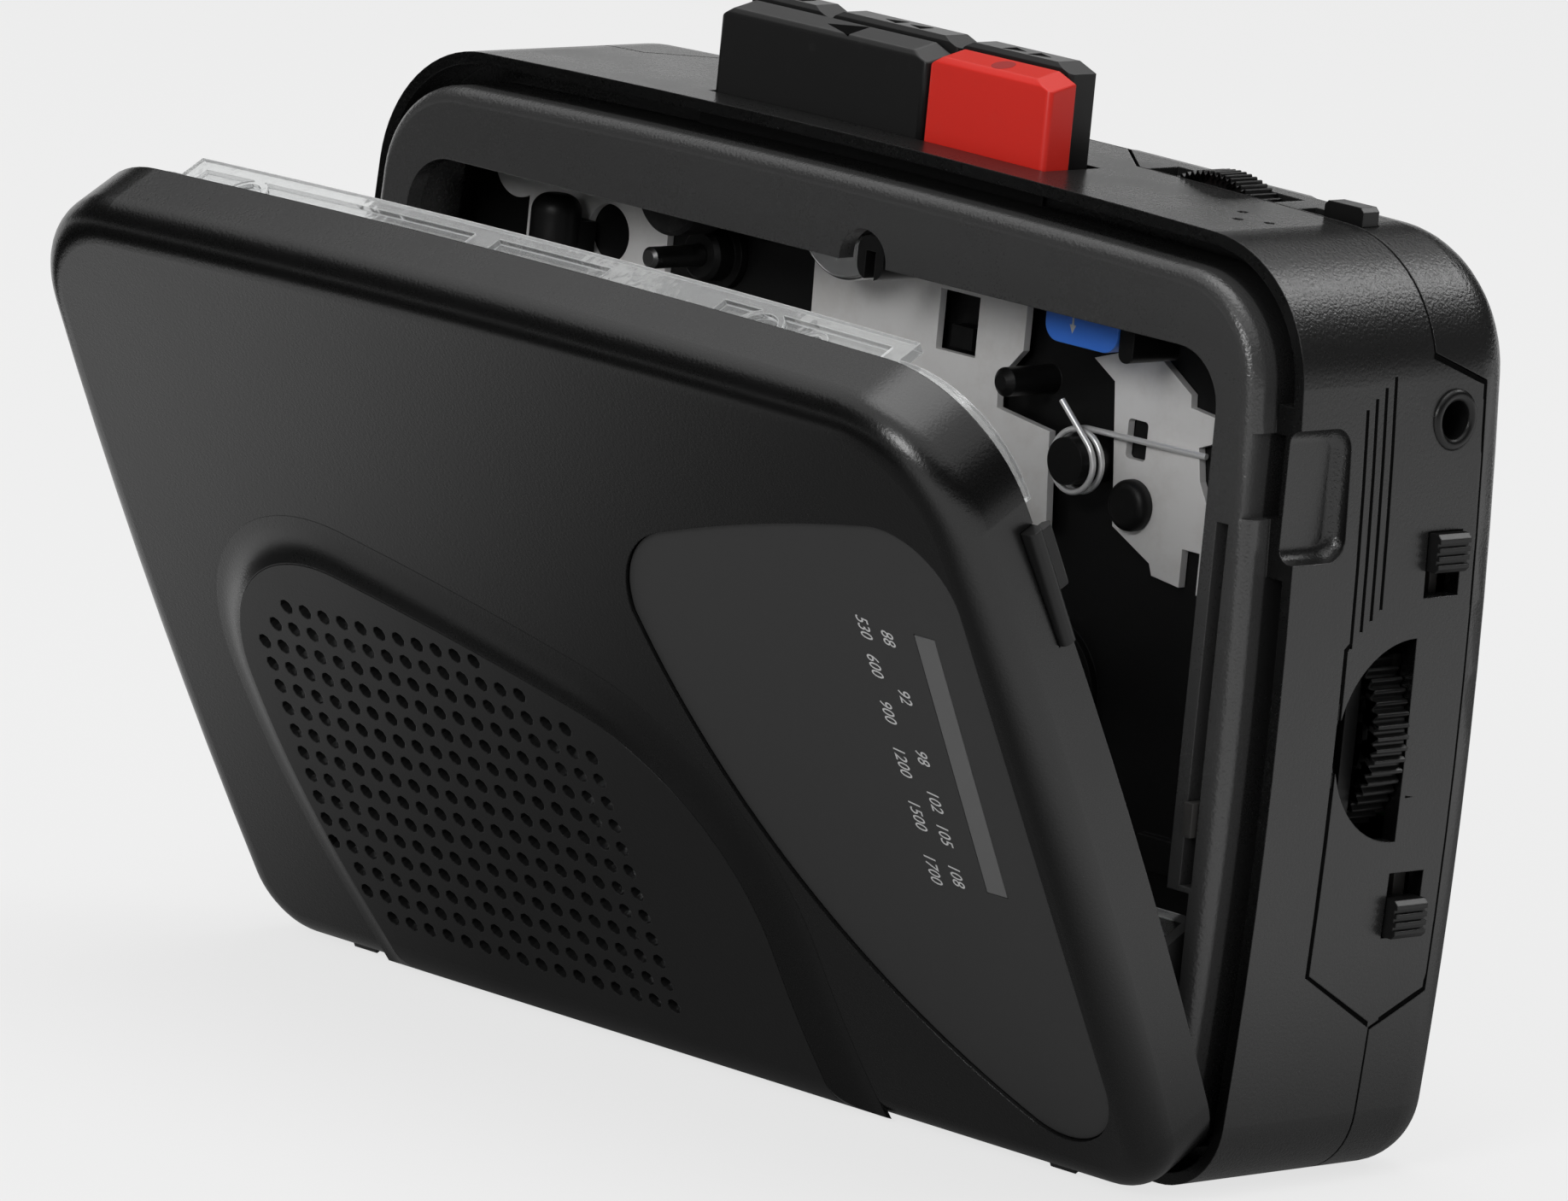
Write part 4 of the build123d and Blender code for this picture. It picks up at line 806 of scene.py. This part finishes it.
keyScreen = {"x": (-21.9 * mm, 21.0 * mm), "y": (-9.65 * mm, -9.46 * mm), "z": (80.1 * mm, 82.3 * mm),
             "parts": 6}


def screenMesh():
    middle = Vector([sum(keyScreen[axis]) / 2 for axis in "xyz"])
    half = Vector([(keyScreen[axis][1] - keyScreen[axis][0]) / 2 for axis in "xyz"])
    shape = strip(keyScreen["parts"])
    bmesh.ops.scale(shape, vec=(half.x, half.z, 1), verts=shape.verts)
    thicken(shape, shape.faces[:], (0, 0, 2 * half.y))
    place = Matrix.Translation((middle.x, keyScreen["y"][1], middle.z))
    shape.transform(place @ Matrix.Rotation(math.pi / 2, 4, "X"))
    return meshFrom(shape, "key_screen")


addPiece("key_screen", screenMesh(), deckPlastic, "housing")


# Plain arrow on the blue head

headArrow = {"across": 0.38, "foot": 1.0 * mm, "length": 3.6 * mm, "line": 0.20 * mm, "point": 0.75 * mm,
             "thick": 0.03 * mm}
upright = Matrix(((1, 0, 0, 0), (0, 0, -1, 0), (0, 1, 0, 0), (0, 0, 0, 1)))


def arrowMesh():
    low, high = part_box("erase_head")
    half, tip, top = headArrow["line"] / 2, headArrow["point"], headArrow["length"]
    stroke = [(-half, tip), (half, tip), (half, top), (-half, top)]
    point = [(0, 0), (tip / 2, tip), (-tip / 2, tip)]
    prisms = [prism(outline, -headArrow["thick"], headArrow["thick"]) for outline in (stroke, point)]
    arrow = joined(prisms, "head_arrow")
    across = low.x + (high.x - low.x) * headArrow["across"]
    arrow.transform(Matrix.Translation((across, low.y, low.z + headArrow["foot"])) @ upright)
    return arrow


addPiece("head_arrow", arrowMesh(), whiteInk, "heads")
print("ring, screen and arrow placed")


# Floor with painted shade in its reflections: seen by glossy rays it fades towards black under the front of
# the object, standing in for the shadow there

stage = {"background": 0.887, "fill": 0.45, "floor": 0.80, "shadow": 0.18, "dim": 0.15, "left": (0.02, 0.13),
         "right": (0.04, 0.12), "reach": 4.0, "below": 0.1 * mm}


def seenBy(finish, ray):
    return finish.add("ShaderNodeLightPath", {}, {}, "Is " + ray + " Ray")


def seenDirectly(finish):
    total = seenBy(finish, "Camera") + seenBy(finish, "Glossy") + seenBy(finish, "Transmission")
    return finish.add("ShaderNodeClamp", {}, {"Value": total})


def addStage(name, mesh, material):
    mesh.materials.append(material)
    piece = bpy.data.objects.new(name, mesh)
    bpy.context.scene.collection.objects.link(piece)
    return piece


floorFinish = Finish("paleFloor", "ShaderNodeMixShader")
glow = floorFinish.add("ShaderNodeEmission", {}, {"Color": grey(stage["background"]), "Strength": 1.0})
glowing = seenDirectly(floorFinish) * (1 - stage["shadow"])
pale = floorFinish.blend(glowing, floorFinish.matt(grey(stage["floor"])), glow)
side = floorFinish.part(floorFinish.place, "X")
lit = floorFinish.band(0 - side, *stage["left"]) + floorFinish.band(side, *stage["right"])
# Painted shade: near the object, glossy rays see the floor mixed towards black
paintedReflectionShade = seenBy(floorFinish, "Glossy") * (1 - stage["dim"]) * (1 - lit)
floorFinish.set({0: paintedReflectionShade, 1: pale, 2: floorFinish.matt(grey(0.0))})

floorShape = bmesh.new()
bmesh.ops.create_grid(floorShape, x_segments=1, y_segments=1, size=stage["reach"])
floor = addStage("floor", meshFrom(floorShape, "floor"), floorFinish.material)
floor.location.z = -stage["below"]


# Dark studio walls and carpet, seen only in reflections

darkRoom = {"shade": 0.004, "steps": 40, "sectors": [
    {"name": "darkWall", "edge": ((2.4, 0.12), (2.4, 1.80)), "start": 175, "turn": 300},
    {"name": "rearWall", "edge": ((2.4, 0.62), (2.4, 1.80)), "start": 115, "turn": 60},
    {"name": "darkCarpet", "edge": ((0.17, 0.5 * mm), (2.4, 0.5 * mm)), "start": 185, "turn": 95},
]}
darkFinish = Finish("darkRoom", "ShaderNodeBsdfDiffuse")
darkFinish.set({"Color": grey(darkRoom["shade"])})
for sector in darkRoom["sectors"]:
    shape = bmesh.new()
    ends = [shape.verts.new((radius, 0, height)) for radius, height in sector["edge"]]
    bmesh.ops.spin(shape, geom=[*ends, shape.edges.new(ends)], axis=(0, 0, 1), cent=(0, 0, 0),
                   angle=math.radians(sector["turn"]), steps=darkRoom["steps"], use_merge=False)
    shape.transform(Matrix.Rotation(math.radians(sector["start"]), 4, "Z"))
    screen = addStage(sector["name"], meshFrom(shape, sector["name"]), darkFinish.material)
    screen.visible_camera = False
    screen.visible_diffuse = False
    screen.visible_transmission = False
    screen.visible_shadow = False


# Sky, brighter where it is seen than where it lights

class Sky(Finish):
    def __init__(self, world):
        world.use_nodes = True
        self.start(world.node_tree, "ShaderNodeOutputWorld", "ShaderNodeBackground")


bpy.context.scene.world = bpy.data.worlds.new("studio")
sky = Sky(bpy.context.scene.world)
sky.set({"Color": grey(1.0),
         "Strength": stage["fill"] + seenDirectly(sky) * (stage["background"] - stage["fill"])})


# Lamps

lamps = {"target": Vector((0, 0, 0.045)), "discs": [
    {"name": "topLamp", "from": (0.0, 0.0, 1.35), "size": 1.10, "power": 7.0},
    {"name": "backLamp", "from": (0.22, 0.84, 0.83), "size": 0.40, "power": 1.8},
    {"name": "frontLamp", "from": (0.35, -1.00, 0.50), "size": 0.40, "power": 5.0},
]}
for lamp in lamps["discs"]:
    light = bpy.data.lights.new(lamp["name"], "AREA")
    light.shape = "DISK"
    light.size = lamp["size"]
    light.energy = lamp["power"]
    holder = bpy.data.objects.new(lamp["name"], light)
    holder.location = lamp["from"]
    holder.rotation_euler = (lamps["target"] - Vector(lamp["from"])).to_track_quat("-Z", "Y").to_euler()
    holder.visible_camera = False
    bpy.context.scene.collection.objects.link(holder)


# Camera

view = {"aim": (-5.80 * mm, -9.46 * mm, 39.86 * mm), "distance": 1.16751, "yaw": 44.4282, "pitch": 10.4776,
        "roll": 5.5285, "lens": 301.14, "sensor": 36}
camera = bpy.data.cameras.new("camera")
camera.lens = view["lens"]
camera.sensor_width = view["sensor"]
cameraHolder = bpy.data.objects.new("camera", camera)
turn = (Matrix.Rotation(math.radians(view["yaw"]), 4, "Z")
        @ Matrix.Rotation(math.radians(90 - view["pitch"]), 4, "X")
        @ Matrix.Rotation(math.radians(view["roll"]), 4, "Z"))
cameraHolder.matrix_world = (Matrix.Translation(view["aim"]) @ turn
                             @ Matrix.Translation((0, 0, view["distance"])))
bpy.context.scene.collection.objects.link(cameraHolder)
bpy.context.scene.camera = cameraHolder
bpy.context.scene.view_settings.view_transform = "Standard"
print("stage, lamps and camera set")
